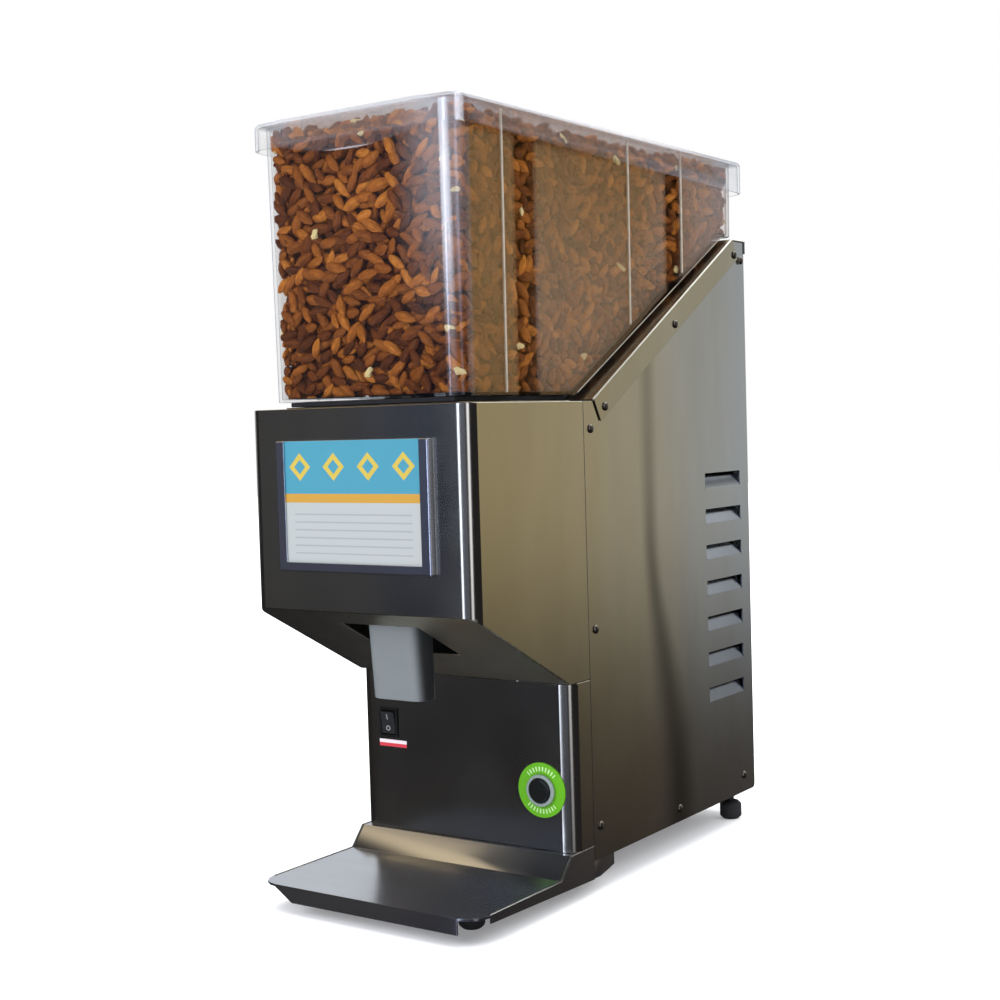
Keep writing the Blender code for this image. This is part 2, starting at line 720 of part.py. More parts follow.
def side_panel(name, side):
    """One side sheet, with louvres lanced inward from folds along their lower edges."""
    loops = [side_outline()] + [louvre_window(index) for index in range(LOUVRE_COUNT)]
    flat = plate(name, loops, "YZ", HALF - SHEET, HALF)
    bm = bmesh.new()
    bm.from_mesh(flat.data)
    bpy.data.objects.remove(flat, do_unlink=True)
    inner = [face for face in bm.faces if face.normal.x < 0.99]
    bmesh.ops.delete(bm, geom=inner, context="FACES")
    folds = []
    for index in range(LOUVRE_COUNT):
        height = LOUVRE_FIRST + index * LOUVRE_PITCH
        folds += [edge for edge in bm.edges
                  if edge.is_boundary and all(abs(vert.co.z - height) < CLEARANCE / 3 for vert in edge.verts)]
    lean = Vector((-LOUVRE_LEAN, 0, LOUVRE_HEIGHT - LOUVRE_KERF))
    extrude_edges(bm, folds, lambda place_at: place_at + lean)
    bmesh.ops.transform(bm, verts=bm.verts, matrix=Matrix.Diagonal((side, 1, 1, 1)))
    return open_surface(name, bm, SHEET, (0, SEAM, HEAD_TOP), "case_steel")


def vent_slots():
    """Round ended slots across the rear wall."""
    bm = bmesh.new()
    radius = VENT_HEIGHT / 2
    for row in range(VENT_ROWS):
        height = VENT_FIRST + row * VENT_PITCH
        slot = bmesh.ops.create_cube(bm, size=1)["verts"]
        bmesh.ops.scale(bm, verts=slot, vec=(VENT_LENGTH, 4 * SHEET, VENT_HEIGHT))
        bmesh.ops.translate(bm, verts=slot, vec=(0, CASE_REAR - SHEET / 2, height))
    uprights = [edge for edge in bm.edges if abs(edge.verts[0].co.y - edge.verts[1].co.y) > SHEET]
    bmesh.ops.bevel(bm, geom=uprights, offset=radius * 0.9, segments=2, profile=0.5, affect="EDGES")
    return place("vent_slots", mesh_from(bm, "vent_slots"))


def rear_panel():
    """Rear wall with forward returns inside the side sheets, vents and the inlet's cut-out."""
    front = CASE_REAR - REAR_RETURN
    profile = ((-INNER_HALF, front), (-INNER_HALF, CASE_REAR, 2 * SHEET), (INNER_HALF, CASE_REAR, 2 * SHEET),
               (INNER_HALF, front))
    top = deck_line(CASE_REAR, -SADDLE_SHEET - CLEARANCE)
    made = bent_sheet("rear_panel", profile, "XY", CASE_BOTTOM, top, (0, SEAM, HEAD_TOP), "case_steel")
    half_wide = INLET_BODY_WIDTH / 2 + CLEARANCE
    half_tall = INLET_BODY_TALL / 2 + CLEARANCE
    inlet_hole = box("inlet_hole", (INLET_X - half_wide, CASE_REAR - 3 * SHEET, INLET_HEIGHT - half_tall),
                     (INLET_X + half_wide, CASE_REAR + SHEET, INLET_HEIGHT + half_tall))
    return cut(made, vent_slots(), inlet_hole)


def saddle():
    """Sheet over the slope with a tongue under the hopper, flanges outside the side sheets and a rear lip."""
    bm = bmesh.new()
    rear = CASE_REAR + CLEARANCE + SADDLE_SHEET
    across = (-SADDLE_HALF, -SADDLE_TONGUE_HALF, SADDLE_TONGUE_HALF, SADDLE_HALF)
    knee = [bm.verts.new((x, SADDLE_KNEE, DECK_HEIGHT)) for x in across]
    start = [bm.edges.new(pair) for pair in zip(knee, knee[1:])]
    crest_height = deck_line(SADDLE_CREST, 0)
    slope = extrude_edges(bm, start, lambda at: Vector((at.x, SADDLE_CREST, crest_height)))
    top = extrude_edges(bm, slope, lambda at: Vector((at.x, rear, crest_height)))
    extrude_edges(bm, top, lambda at: at - Vector((0, 0, SADDLE_REAR_LIP)))
    extrude_edges(bm, [start[1]], lambda at: Vector((at.x, SADDLE_FRONT, DECK_HEIGHT)))
    rims = [edge for edge in bm.edges
            if all(abs(abs(vert.co.x) - SADDLE_HALF) < CLEARANCE for vert in edge.verts)
            and max(vert.co.y for vert in edge.verts) <= SADDLE_CREST + CLEARANCE]
    down = Vector((0, math.sin(SADDLE_SLOPE), -math.cos(SADDLE_SLOPE))) * SADDLE_FLANGE
    extrude_edges(bm, rims, lambda at: at + down)
    made = open_surface("saddle", bm, SADDLE_SHEET, (0, SADDLE_CREST, HEAD_BOTTOM), "case_steel")
    return cut(made, bpy.data.objects["throat_hole"])


def throat_hole():
    """Cutter for the way down from the hopper, through saddle and head."""
    half_x = OUTLET_WIDTH / 2 + SCREW_CLEARANCE
    half_y = OUTLET_LENGTH / 2 + SCREW_CLEARANCE
    return box("throat_hole", (-half_x, OUTLET_CENTRE - half_y, HEAD_TOP - 3 * SHEET),
               (half_x, OUTLET_CENTRE + half_y, DECK_HEIGHT + SHEET))


def tray():
    """Tub tray: flat shelf with rounded front corners, a deep front lip, side flanges and a rear step."""
    bm = bmesh.new()
    front = [(-HALF, TRAY_SLOPE_FRONT), (-HALF, TRAY_FRONT, TRAY_CORNER), (HALF, TRAY_FRONT, TRAY_CORNER),
             (HALF, TRAY_SLOPE_FRONT)]
    shelf = bm.faces.new([bm.verts.new((*point, TRAY_TOP)) for point in rounded(front, closed=False)])
    rear = [edge for edge in shelf.edges
            if all(vert.co.y > TRAY_SLOPE_FRONT - CLEARANCE for vert in edge.verts)]
    narrow = INNER_HALF / HALF
    rear = extrude_edges(bm, rear, lambda at: Vector((at.x, TRAY_SLOPE_REAR, TRAY_STEP)))
    rear = extrude_edges(bm, rear, lambda at: Vector((at.x, SEAM - 3 * CLEARANCE, TRAY_STEP)))
    rear = extrude_edges(bm, rear, lambda at: Vector((at.x * narrow, SEAM - 2 * CLEARANCE, TRAY_STEP)))
    rear = extrude_edges(bm, rear, lambda at: Vector((at.x, TRAY_REAR, TRAY_STEP)))
    rims = [edge for edge in bm.edges if edge.is_boundary and edge not in rear]
    extrude_edges(bm, rims, lambda at: Vector((at.x, at.y, TRAY_LIP_BOTTOM)))
    made = open_surface("tray", bm, SHEET, (0, SEAM / 2, TRAY_LIP_BOTTOM), "tray_steel")
    corner = TRAY_FRONT + TRAY_CORNER
    chamfer = TRAY_REAR - TRAY_CHAMFER_LENGTH
    under = [(corner, 0), (corner, TRAY_FLANGE_FRONT), (chamfer, TRAY_FLANGE_REAR),
             (TRAY_REAR, TRAY_FLANGE_REAR + TRAY_CHAMFER_RISE), (CASE_REAR, TRAY_FLANGE_REAR), (CASE_REAR, 0)]
    flange_cut = plate("flange_cut", [under], "YZ", -WIDTH, WIDTH)
    bare_corners = bmesh.new()
    for side in (-1, 1):
        block = bmesh.ops.create_cube(bare_corners, size=1)["verts"]
        bmesh.ops.scale(bare_corners, verts=block, vec=(TRAY_CORNER, 2 * TRAY_CORNER, TRAY_TOP))
        middle = Vector((side * (HALF - TRAY_CORNER / 2 + SHEET), TRAY_FRONT, TRAY_TOP / 2 - 1.5 * SHEET))
        bmesh.ops.translate(bare_corners, verts=block, vec=middle)
    corner_cut = place("corner_cut", mesh_from(bare_corners, "corner_cut"))
    return smooth(cut(made, flange_cut, corner_cut))


def base_pan():
    """Floor of the case with its side flanges turned up."""
    rise = CASE_BOTTOM + 2 * CLEARANCE
    profile = ((-INNER_HALF, rise + PAN_FLANGE), (-INNER_HALF, rise, 2 * SHEET),
               (INNER_HALF, rise, 2 * SHEET), (INNER_HALF, rise + PAN_FLANGE))
    rear = CASE_REAR - REAR_RETURN - CLEARANCE
    return bent_sheet("base_pan", profile, "XZ", TRAY_REAR + CLEARANCE, rear,
                      (0, COLUMN_FRONT + SEAM, HEAD_TOP), "galvanised_steel")


def foot(name, x, y, top):
    """Rubber foot bonded to a threaded stem."""
    edge = FOOT_RADIUS * 0.3
    profile = [(0, top), (FOOT_STEM_RADIUS, top), (FOOT_STEM_RADIUS, FOOT_HEIGHT),
               (FOOT_RADIUS - edge, FOOT_HEIGHT), (FOOT_RADIUS, FOOT_HEIGHT - edge), (FOOT_RADIUS, edge),
               (FOOT_RADIUS - edge, 0), (0, 0)]
    return smooth(turned(name, profile, (x, y), "rubber", 20, "Z"))


def feet():
    """Four feet: two under the tray and two under the floor pan."""
    under_tray = TRAY_TOP - SHEET - CLEARANCE
    under_pan = CASE_BOTTOM + CLEARANCE
    for side, word in ((1, "right"), (-1, "left")):
        foot(f"foot_front_{word}", side * FOOT_FRONT_HALF, FOOT_FRONT, under_tray)
        foot(f"foot_rear_{word}", side * FOOT_REAR_HALF, FOOT_REAR, under_pan)


def screws():
    """Domed screw heads down both seams and along the saddle's flanges."""
    along = Vector((math.cos(SADDLE_SLOPE), math.sin(SADDLE_SLOPE)))
    down = Vector((math.sin(SADDLE_SLOPE), -math.cos(SADDLE_SLOPE))) * SADDLE_SCREW_DROP
    knee = Vector((SADDLE_KNEE, DECK_HEIGHT))
    spots = [("seam_screw", HALF, Vector((SEAM + SEAM_SCREW_SETBACK, height)))
             for height in SEAM_SCREW_HEIGHTS]
    spots += [("saddle_screw", SADDLE_HALF, knee + along * run + down) for run in SADDLE_SCREW_RUNS]
    bm = bmesh.new()
    cylinder(bm, (0, 0), SCREW_HEAD_RADIUS, 0, SCREW_HEAD_HEIGHT, "X", 12,
             SCREW_HEAD_RADIUS * SCREW_HEAD_TAPER)
    head = mesh_from(bm, "screw_head")
    for index, (kind, face, spot) in enumerate(spots):
        for side, word in ((1, "right"), (-1, "left")):
            made = place(f"{kind}_{word}_{index % len(SEAM_SCREW_HEIGHTS) + 1}", head, "screw_steel")
            made.location = (side * (face + CLEARANCE), *spot)
            made.rotation_euler = (0, 0, 0 if side > 0 else math.pi)


# Hopper


def hopper_corners(distance):
    """Plan of the hopper, moved inward by a distance: wide at the rear, drawn in along the middle."""
    half = [(HOPPER_FRONT_HALF, HOPPER_FRONT, HOPPER_CORNER), (HOPPER_FRONT_HALF, HOPPER_STEP_START),
            (HOPPER_MIDDLE_HALF, HOPPER_STEP_END), (HOPPER_MIDDLE_HALF, HOPPER_JOG_START),
            (HOPPER_REAR_HALF, HOPPER_JOG_END), (HOPPER_REAR_HALF, HOPPER_REAR, HOPPER_CORNER)]
    return inset(mirrored(half), distance)


def hopper_body(distance, offset, top):
    """Open tub on the hopper's plan, its floor on the deck at an offset, drawn in slightly toward it."""
    bm = bmesh.new()
    bm.faces.new([bm.verts.new((*point, 0)) for point in rounded(hopper_corners(distance))])
    for knee in deck_knees(offset):
        geometry = bm.verts[:] + bm.edges[:] + bm.faces[:]
        bmesh.ops.bisect_plane(bm, geom=geometry, plane_co=(0, knee, 0), plane_no=(0, 1, 0))
    rims = [edge for edge in bm.edges if edge.is_boundary]
    extrude_edges(bm, rims, lambda at: Vector((at.x, at.y, top)))
    middle = (HOPPER_FRONT + HOPPER_REAR) / 2
    for vert in bm.verts:
        if vert.co.z == 0:
            vert.co.z = deck_line(vert.co.y, offset)
        drawn = HOPPER_DRAFT * (HOPPER_TOP - vert.co.z) / (HOPPER_TOP - DECK_HEIGHT)
        vert.co.x *= 1 - drawn / HOPPER_FRONT_HALF
        vert.co.y = middle + (vert.co.y - middle) * (1 - drawn / (HOPPER_REAR - middle))
    return bm


def hopper():
    """Clear hopper: a thin tub with a sloping floor and a short outlet collar."""
    made = open_surface("hopper", hopper_body(0, HOPPER_SEAT, HOPPER_TOP), HOPPER_WALL,
                        (0, SADDLE_KNEE, (HOPPER_TOP + DECK_HEIGHT) / 2), "clear_plastic")
    half_x = OUTLET_WIDTH / 2
    half_y = OUTLET_LENGTH / 2
    floor = DECK_HEIGHT + HOPPER_SEAT
    collar = box("collar", (-half_x, OUTLET_CENTRE - half_y, floor - OUTLET_DROP),
                 (half_x, OUTLET_CENTRE + half_y, floor + HOPPER_WALL / 2))
    inner_x = half_x - HOPPER_WALL
    inner_y = half_y - HOPPER_WALL
    outlet = box("outlet", (-inner_x, OUTLET_CENTRE - inner_y, floor - 2 * OUTLET_DROP),
                 (inner_x, OUTLET_CENTRE + inner_y, floor + 2 * HOPPER_WALL))
    combine(made, collar, "UNION")
    return smooth(cut(made, outlet))


def slice_evenly(bm, pitch):
    """Cuts the faces of a body along planes that stand a pitch apart, the first through the origin."""
    for axis in range(3):
        way = Vector([float(index == axis) for index in range(3)])
        reach = [vert.co[axis] for vert in bm.verts]
        for step in range(math.ceil(min(reach) / pitch), math.floor(max(reach) / pitch) + 1):
            bmesh.ops.bisect_plane(bm, geom=bm.verts[:] + bm.edges[:] + bm.faces[:],
                                   plane_co=way * step * pitch, plane_no=way)


def lump(place_on, floor):
    """How far a point of the heap lies under the tops of its lumps, nothing at its floor."""
    waves = [math.cos(math.tau * (part + 0.2 * LUMP_PITCH * math.sin(other / LUMP_PITCH)) / LUMP_PITCH)
             for part, other in zip(place_on, (place_on.z, place_on.x, place_on.y))]
    level = 0.5 - (waves[0] * waves[1] + waves[1] * waves[2] + waves[2] * waves[0]) / 6
    return LUMP_DEPTH * level * min(1.0, max(0.0, (place_on.z - floor) / LUMP_PITCH))


def nut_fill():
    """The heap of nuts as one lumpy body that fills the hopper to just under its rim."""
    offset = HOPPER_SEAT + HOPPER_WALL + CLEARANCE
    bm = hopper_body(HOPPER_WALL + 2 * CLEARANCE, offset, FILL_TOP)
    bmesh.ops.holes_fill(bm, edges=[edge for edge in bm.edges if edge.is_boundary])
    bmesh.ops.recalc_face_normals(bm, faces=bm.faces)
    slice_evenly(bm, LUMP_PITCH / 2)
    bmesh.ops.remove_doubles(bm, verts=bm.verts, dist=CLEARANCE * 3)
    bmesh.ops.triangulate(bm, faces=bm.faces)
    bm.normal_update()
    moves = [vert.normal * lump(vert.co, deck_line(vert.co.y, offset)) for vert in bm.verts]
    for vert, move in zip(bm.verts, moves):
        vert.co -= move
    bmesh.ops.dissolve_limit(bm, angle_limit=math.radians(1), verts=bm.verts, edges=bm.edges)
    return place("nut_fill", mesh_from(bm, "nut_fill"), "nuts")


def lid():
    """Clear lid with rounded edges, a skirt that deepens to the rear and a shallow finger tab in front."""
    bm = bmesh.new()
    half = [(LID_HALF, LID_FRONT, LID_CORNER), (LID_HALF, LID_REAR, LID_CORNER)]
    points = rounded(mirrored(half))
    tab_steps = 12
    tab = [Vector((LID_TAB_HALF * (2 * step / tab_steps - 1), LID_FRONT)) for step in range(tab_steps + 1)]
    top = bm.faces.new([bm.verts.new((*point, LID_TOP)) for point in points + tab])
    rims = [edge for edge in bm.edges if edge.is_boundary]
    skirt = LID_TOP - LID_EDGE_ROUND * 2
    extrude_edges(bm, rims, lambda at: Vector((at.x, at.y, skirt)))
    bmesh.ops.bevel(bm, geom=list(top.edges), offset=LID_EDGE_ROUND, segments=3, profile=0.5, affect="EDGES")
    for vert in bm.verts:
        if abs(vert.co.z - skirt) < CLEARANCE:
            run = (vert.co.y - LID_FRONT) / (LID_REAR - LID_FRONT)
            vert.co.z = LID_SKIRT_FRONT + (LID_SKIRT_REAR - LID_SKIRT_FRONT) * run
            if vert.co.y < LID_FRONT + CLEARANCE and abs(vert.co.x) < LID_TAB_HALF:
                vert.co.z -= LID_TAB_DROP * (1 - (vert.co.x / LID_TAB_HALF) ** 2)
    made = open_surface("hopper_lid", bm, LID_WALL, (0, SADDLE_KNEE, LID_SKIRT_FRONT), "clear_plastic")
    return smooth(made)


def gasket():
    """Rubber strip that the hopper stands on: a front bar and a rail up each side."""
    low = CLEARANCE
    high = CLEARANCE + GASKET_HEIGHT
    knee_low = deck_knees(low)[0]
    knee_high = deck_knees(high)[0]
    rail_front = SADDLE_FRONT + GASKET_WIDTH / 2
    section = [(rail_front, deck_line(rail_front, low)), (knee_low, deck_line(knee_low, low)),
               (GASKET_REAR, deck_line(GASKET_REAR, low)), (GASKET_REAR, deck_line(GASKET_REAR, high)),
               (knee_high, deck_line(knee_high, high)), (rail_front, deck_line(rail_front, high))]
    made = box("hopper_gasket", (-GASKET_HALF, SADDLE_FRONT, DECK_HEIGHT + low),
               (GASKET_HALF, SADDLE_FRONT + GASKET_WIDTH, DECK_HEIGHT + high), "gasket_rubber")
    for side, word in ((1, "right"), (-1, "left")):
        ends = sorted((side * GASKET_HALF, side * (GASKET_HALF - GASKET_WIDTH)))
        combine(made, plate(f"gasket_rail_{word}", [section], "YZ", *ends), "UNION")
    return made


# Mill


def mill_housing():
    """Cast body: disc chamber in front, auger barrel behind, inlet throat above and outlet neck below."""
    centre = (0, SHAFT_HEIGHT)
    flange_front = MILL_REAR - MILL_FLANGE
    made = turned("mill_housing", [
        (0, MILL_REAR), (CHAMBER_OUTER, MILL_REAR), (CHAMBER_OUTER, flange_front),
        (BARREL_OUTER, flange_front), (BARREL_OUTER, CHAMBER_REAR + MILL_WALL),
        (CHAMBER_OUTER, CHAMBER_REAR + MILL_WALL),
        (CHAMBER_OUTER, CHAMBER_FRONT), (0, CHAMBER_FRONT)], centre, "cast_aluminium")
    throat_top = HEAD_TOP - SHEET - CLEARANCE
    inner_x = OUTLET_WIDTH / 2 + SCREW_CLEARANCE
    inner_y = OUTLET_LENGTH / 2 + SCREW_CLEARANCE
    wall = MILL_WALL / 2
    throat = box("throat", (-inner_x - wall, OUTLET_CENTRE - inner_y - wall, SHAFT_HEIGHT),
                 (inner_x + wall, OUTLET_CENTRE + inner_y + wall, throat_top))
    neck = box("neck", (-SPOUT_HALF, SPOUT_FRONT_TOP, SPOUT_TOP + CLEARANCE),
               (SPOUT_HALF, SPOUT_REAR, SHAFT_HEIGHT - BARREL_RADIUS - MILL_WALL / 2))
    barrel_bore = rod("barrel_bore", centre, BARREL_RADIUS, CHAMBER_FRONT - MILL_WALL, flange_front)
    shaft_bore = rod("shaft_bore", centre, SHAFT_RADIUS + CLEARANCE, CHAMBER_REAR, MILL_REAR + MILL_WALL)
    chamber_bore = rod("chamber_bore", centre, CHAMBER_RADIUS, CHAMBER_FRONT - MILL_WALL, CHAMBER_REAR)
    feed = box("feed", (-BARREL_RADIUS * 0.8, OUTLET_CENTRE - inner_y, SHAFT_HEIGHT),
               (BARREL_RADIUS * 0.8, OUTLET_CENTRE + inner_y, throat_top + MILL_WALL))
    mouth = box("mouth", (-inner_x, OUTLET_CENTRE - inner_y, SHAFT_HEIGHT + BARREL_OUTER),
                (inner_x, OUTLET_CENTRE + inner_y, throat_top + MILL_WALL))
    drop = box("drop", (SPOUT_WALL * 3 - SPOUT_HALF, SPOUT_FRONT_TOP + 2 * SPOUT_WALL, SPOUT_TOP - MILL_WALL),
               (SPOUT_HALF - SPOUT_WALL * 3, CHAMBER_REAR - CLEARANCE, SHAFT_HEIGHT))
    combine(made, throat, "UNION")
    combine(made, neck, "UNION")
    return smooth(cut(made, barrel_bore, shaft_bore, chamber_bore, feed, mouth, drop))


def mill_cover():
    """Round cover that closes the disc chamber, with a boss in front."""
    rear = CHAMBER_FRONT - CLEARANCE
    front = rear - MILL_COVER
    boss = MILL_COVER / 2
    made = turned("mill_cover", [(0, rear), (CHAMBER_OUTER, rear), (CHAMBER_OUTER, front + boss),
                                 (CHAMBER_RADIUS, front + boss), (CHAMBER_RADIUS / 2, front), (0, front)],
                  (0, SHAFT_HEIGHT), "cast_aluminium")
    return smooth(made)


def disc_grooves(name, low, high, start):
    """Cutter for the radial grooves of a grinding disc."""
    bm = bmesh.new()
    for index in range(DISC_GROOVES):
        bar = bmesh.ops.create_cube(bm, size=1)["verts"]
        length = 2 * DISC_RADIUS - start
        bmesh.ops.scale(bm, verts=bar, vec=(length, high - low, DISC_GROOVE_WIDTH))
        bmesh.ops.translate(bm, verts=bar, vec=(start + length / 2, 0, 0))
        bmesh.ops.rotate(bm, verts=bar, matrix=Matrix.Rotation(math.tau * index / DISC_GROOVES, 3, "Y"))
    bmesh.ops.translate(bm, verts=bm.verts, vec=(0, (low + high) / 2, SHAFT_HEIGHT))
    return place(name, mesh_from(bm, name))


def fixed_disc():
    """Grinding disc held in the housing, its grooves facing forward."""
    front = FIXED_DISC_REAR - DISC_THICKNESS
    rim = CHAMBER_RADIUS - CLEARANCE
    made = turned("fixed_disc", [(FIXED_DISC_EYE, FIXED_DISC_REAR), (rim, FIXED_DISC_REAR), (rim, front),
                                 (FIXED_DISC_EYE, front)], (0, SHAFT_HEIGHT), "tool_steel")
    grooves = disc_grooves("fixed_grooves", front - DISC_GROOVE_DEPTH, front + DISC_GROOVE_DEPTH,
                           FIXED_DISC_EYE / 2)
    return smooth(cut(made, grooves))


def turning_disc():
    """Grinding disc on the auger's spigot, its grooves facing the fixed one."""
    bore = SPIGOT_RADIUS + CLEARANCE
    front = TURNING_DISC_REAR - DISC_THICKNESS
    made = turned("turning_disc", [(bore, TURNING_DISC_REAR), (DISC_RADIUS, TURNING_DISC_REAR),
                                   (DISC_RADIUS, front), (bore, front)], (0, SHAFT_HEIGHT), "tool_steel")
    grooves = disc_grooves("turning_grooves", TURNING_DISC_REAR - DISC_GROOVE_DEPTH,
                           TURNING_DISC_REAR + DISC_GROOVE_DEPTH, SPIGOT_RADIUS * 2)
    return smooth(cut(made, grooves))


def disc_nut():
    """Hexagon nut that holds the turning disc."""
    rear = TURNING_DISC_REAR - DISC_THICKNESS - CLEARANCE
    bore = circle((0, SHAFT_HEIGHT), SPIGOT_RADIUS + CLEARANCE, 16)
    return plate("disc_nut", [circle((0, SHAFT_HEIGHT), SPIGOT_RADIUS * 2, 6), bore], "XZ",
                 CHAMBER_FRONT + 3 * CLEARANCE, rear, "tool_steel")


def auger():
    """Feed screw: a flight wound round a core, with a spigot in front that carries the disc."""
    rear = SHAFT_FRONT - CLEARANCE
    flight_rear = FIXED_DISC_REAR + AUGER_PITCH * AUGER_TURNS + 2 * CLEARANCE + AUGER_FLIGHT / 2
    bm = bmesh.new()
    root = AUGER_CORE * 0.6
    section = ((root, -AUGER_FLIGHT / 2), (AUGER_RADIUS, -AUGER_FLIGHT / 4), (AUGER_RADIUS, AUGER_FLIGHT / 4),
               (root, AUGER_FLIGHT / 2))
    steps = 20 * AUGER_TURNS
    rows = []
    for step in range(steps + 1):
        angle = math.tau * AUGER_TURNS * step / steps
        back = flight_rear - AUGER_PITCH * AUGER_TURNS * step / steps
        rows.append([bm.verts.new((radius * math.cos(angle), back + shift,
                                   SHAFT_HEIGHT + radius * math.sin(angle))) for radius, shift in section])
    for before, after in zip(rows, rows[1:]):
        for index in range(len(section)):
            following = (index + 1) % len(section)
            bm.faces.new((before[index], before[following], after[following], after[index]))
    bm.faces.new(rows[0])
    bm.faces.new(reversed(rows[-1]))
    flight = place("flight", mesh_from(bm, "flight"))
    shoulder = TURNING_DISC_REAR + CLEARANCE
    front = CHAMBER_FRONT + CLEARANCE
    made = turned("auger", [(0, rear), (AUGER_CORE, rear), (AUGER_CORE, shoulder), (SPIGOT_RADIUS, shoulder),
                            (SPIGOT_RADIUS, front), (0, front)], (0, SHAFT_HEIGHT), "tool_steel", 20)
    combine(made, flight, "UNION")
    return smooth(made)


def spout():
    """Delivery spout: an open moulded tube with rounded front corners, leaning back toward its end."""
    bm = bmesh.new()

    def section(half, front):
        return rounded([(half, front, SPOUT_CORNER), (half, SPOUT_REAR, 2 * SPOUT_WALL),
                        (-half, SPOUT_REAR, 2 * SPOUT_WALL), (-half, front, SPOUT_CORNER)], steps=5)

    upper_half = SPOUT_HALF - SPOUT_TAPER
    lower = [bm.verts.new((*point, SPOUT_BOTTOM)) for point in section(SPOUT_HALF, SPOUT_FRONT_BOTTOM)]
    upper = [bm.verts.new((*point, SPOUT_TOP)) for point in section(upper_half, SPOUT_FRONT_TOP)]
    for index in range(len(lower)):
        after = (index + 1) % len(lower)
        bm.faces.new((lower[index], lower[after], upper[after], upper[index]))
    middle = (0, (SPOUT_FRONT_BOTTOM + SPOUT_REAR) / 2, (SPOUT_TOP + SPOUT_BOTTOM) / 2)
    return smooth(open_surface("spout", bm, SPOUT_WALL, middle, "spout_plastic"))


# Motor


def motor_frame():
    """Finned motor frame with its round bore, drawn once and extruded along the shaft."""
    centre = Vector((0, SHAFT_HEIGHT))
    outline = []
    root = MOTOR_RADIUS - MOTOR_FIN
    for index in range(MOTOR_FINS):
        start = math.tau * index / MOTOR_FINS
        quarter = math.tau / MOTOR_FINS / 4
        for radius, share in ((root, 0), (root, 2), (MOTOR_RADIUS, 2.5), (MOTOR_RADIUS, 3.5)):
            angle = start + quarter * share
            outline.append(centre + Vector((radius * math.cos(angle), radius * math.sin(angle))))
    return plate("motor_frame", [outline, circle(centre, MOTOR_BORE)], "XZ", FRAME_FRONT, FRAME_REAR,
                 "motor_paint")


def motor_bell(name, face, seat):
    """End bell with a bearing seat, its open side toward the motor frame."""
    rim = face + (MOTOR_BELL if seat > face else -MOTOR_BELL)
    step = MOTOR_BELL / 3 if seat > face else -MOTOR_BELL / 3
    made = turned(name, [(BEARING_RADIUS + CLEARANCE, face), (MOTOR_RADIUS - MOTOR_FIN, face),
                         (MOTOR_RADIUS, face + step), (MOTOR_RADIUS, rim), (MOTOR_BORE, rim),
                         (MOTOR_BORE, face + step * 2), (BEARING_RADIUS + CLEARANCE, face + step * 2)],
                  (0, SHAFT_HEIGHT), "cast_aluminium")
    return smooth(made)


def bearings():
    """Ball bearings in both end bells, each as one ring."""
    bore = SHAFT_RADIUS + CLEARANCE
    for name, low in (("bearing_front", MOTOR_FRONT + CLEARANCE),
                      ("bearing_rear", MOTOR_REAR - CLEARANCE - BEARING_WIDTH)):
        high = low + BEARING_WIDTH
        smooth(turned(name, [(bore, high), (BEARING_RADIUS, high), (BEARING_RADIUS, low), (bore, low)],
                      (0, SHAFT_HEIGHT), "tool_steel"))


def rotor():
    """Motor shaft with its rotor core."""
    low = FRAME_FRONT + ROTOR_MARGIN
    high = FRAME_REAR - ROTOR_MARGIN
    rear = MOTOR_REAR + SHAFT_TAIL
    made = turned("rotor", [(0, rear), (SHAFT_RADIUS, rear), (SHAFT_RADIUS, high), (ROTOR_RADIUS, high),
                            (ROTOR_RADIUS, low), (SHAFT_RADIUS, low), (SHAFT_RADIUS, SHAFT_FRONT),
                            (0, SHAFT_FRONT)], (0, SHAFT_HEIGHT), "tool_steel")
    return smooth(made)


def fan():
    """Cooling fan: straight blades round a hub on the shaft's tail."""
    centre = Vector((0, SHAFT_HEIGHT))
    hub = SHAFT_RADIUS * 2
    outline = []
    blade = math.tau / FAN_BLADES
    for index in range(FAN_BLADES):
        for radius, share in ((hub, 0.0), (hub, 0.7), (FAN_RADIUS, 0.9), (FAN_RADIUS, 0.96)):
            angle = blade * (index + share)
            outline.append(centre + Vector((radius * math.cos(angle), radius * math.sin(angle))))
    low = MOTOR_REAR + 4 * CLEARANCE
    return plate("fan", [outline, circle(centre, SHAFT_RADIUS + CLEARANCE, 16)], "XZ", low, low + FAN_WIDTH,
                 "black_plastic")


def fan_cowl():
    """Pressed cowl round the fan, open at the middle of its rear."""
    front = MOTOR_REAR - MOTOR_BELL / 3
    rear = MOTOR_REAR + COWL_DEPTH
    inner = MOTOR_RADIUS + CLEARANCE
    outer = inner + COWL_SHEET
    eye = FAN_RADIUS * 0.6
    made = turned("fan_cowl", [(inner, front), (outer, front), (outer, rear), (eye, rear),
                               (eye, rear - COWL_SHEET), (inner, rear - COWL_SHEET)],
                  (0, SHAFT_HEIGHT), "galvanised_steel")
    return smooth(made)


def capacitor():
    """Motor capacitor, lying along the top of the frame."""
    height = SHAFT_HEIGHT + MOTOR_RADIUS + CLEARANCE + CAPACITOR_RADIUS
    middle = (FRAME_FRONT + FRAME_REAR) / 2
    return smooth(rod("capacitor", (0, height), CAPACITOR_RADIUS, middle - CAPACITOR_LENGTH / 2,
                      middle + CAPACITOR_LENGTH / 2, material="black_plastic", segments=24))


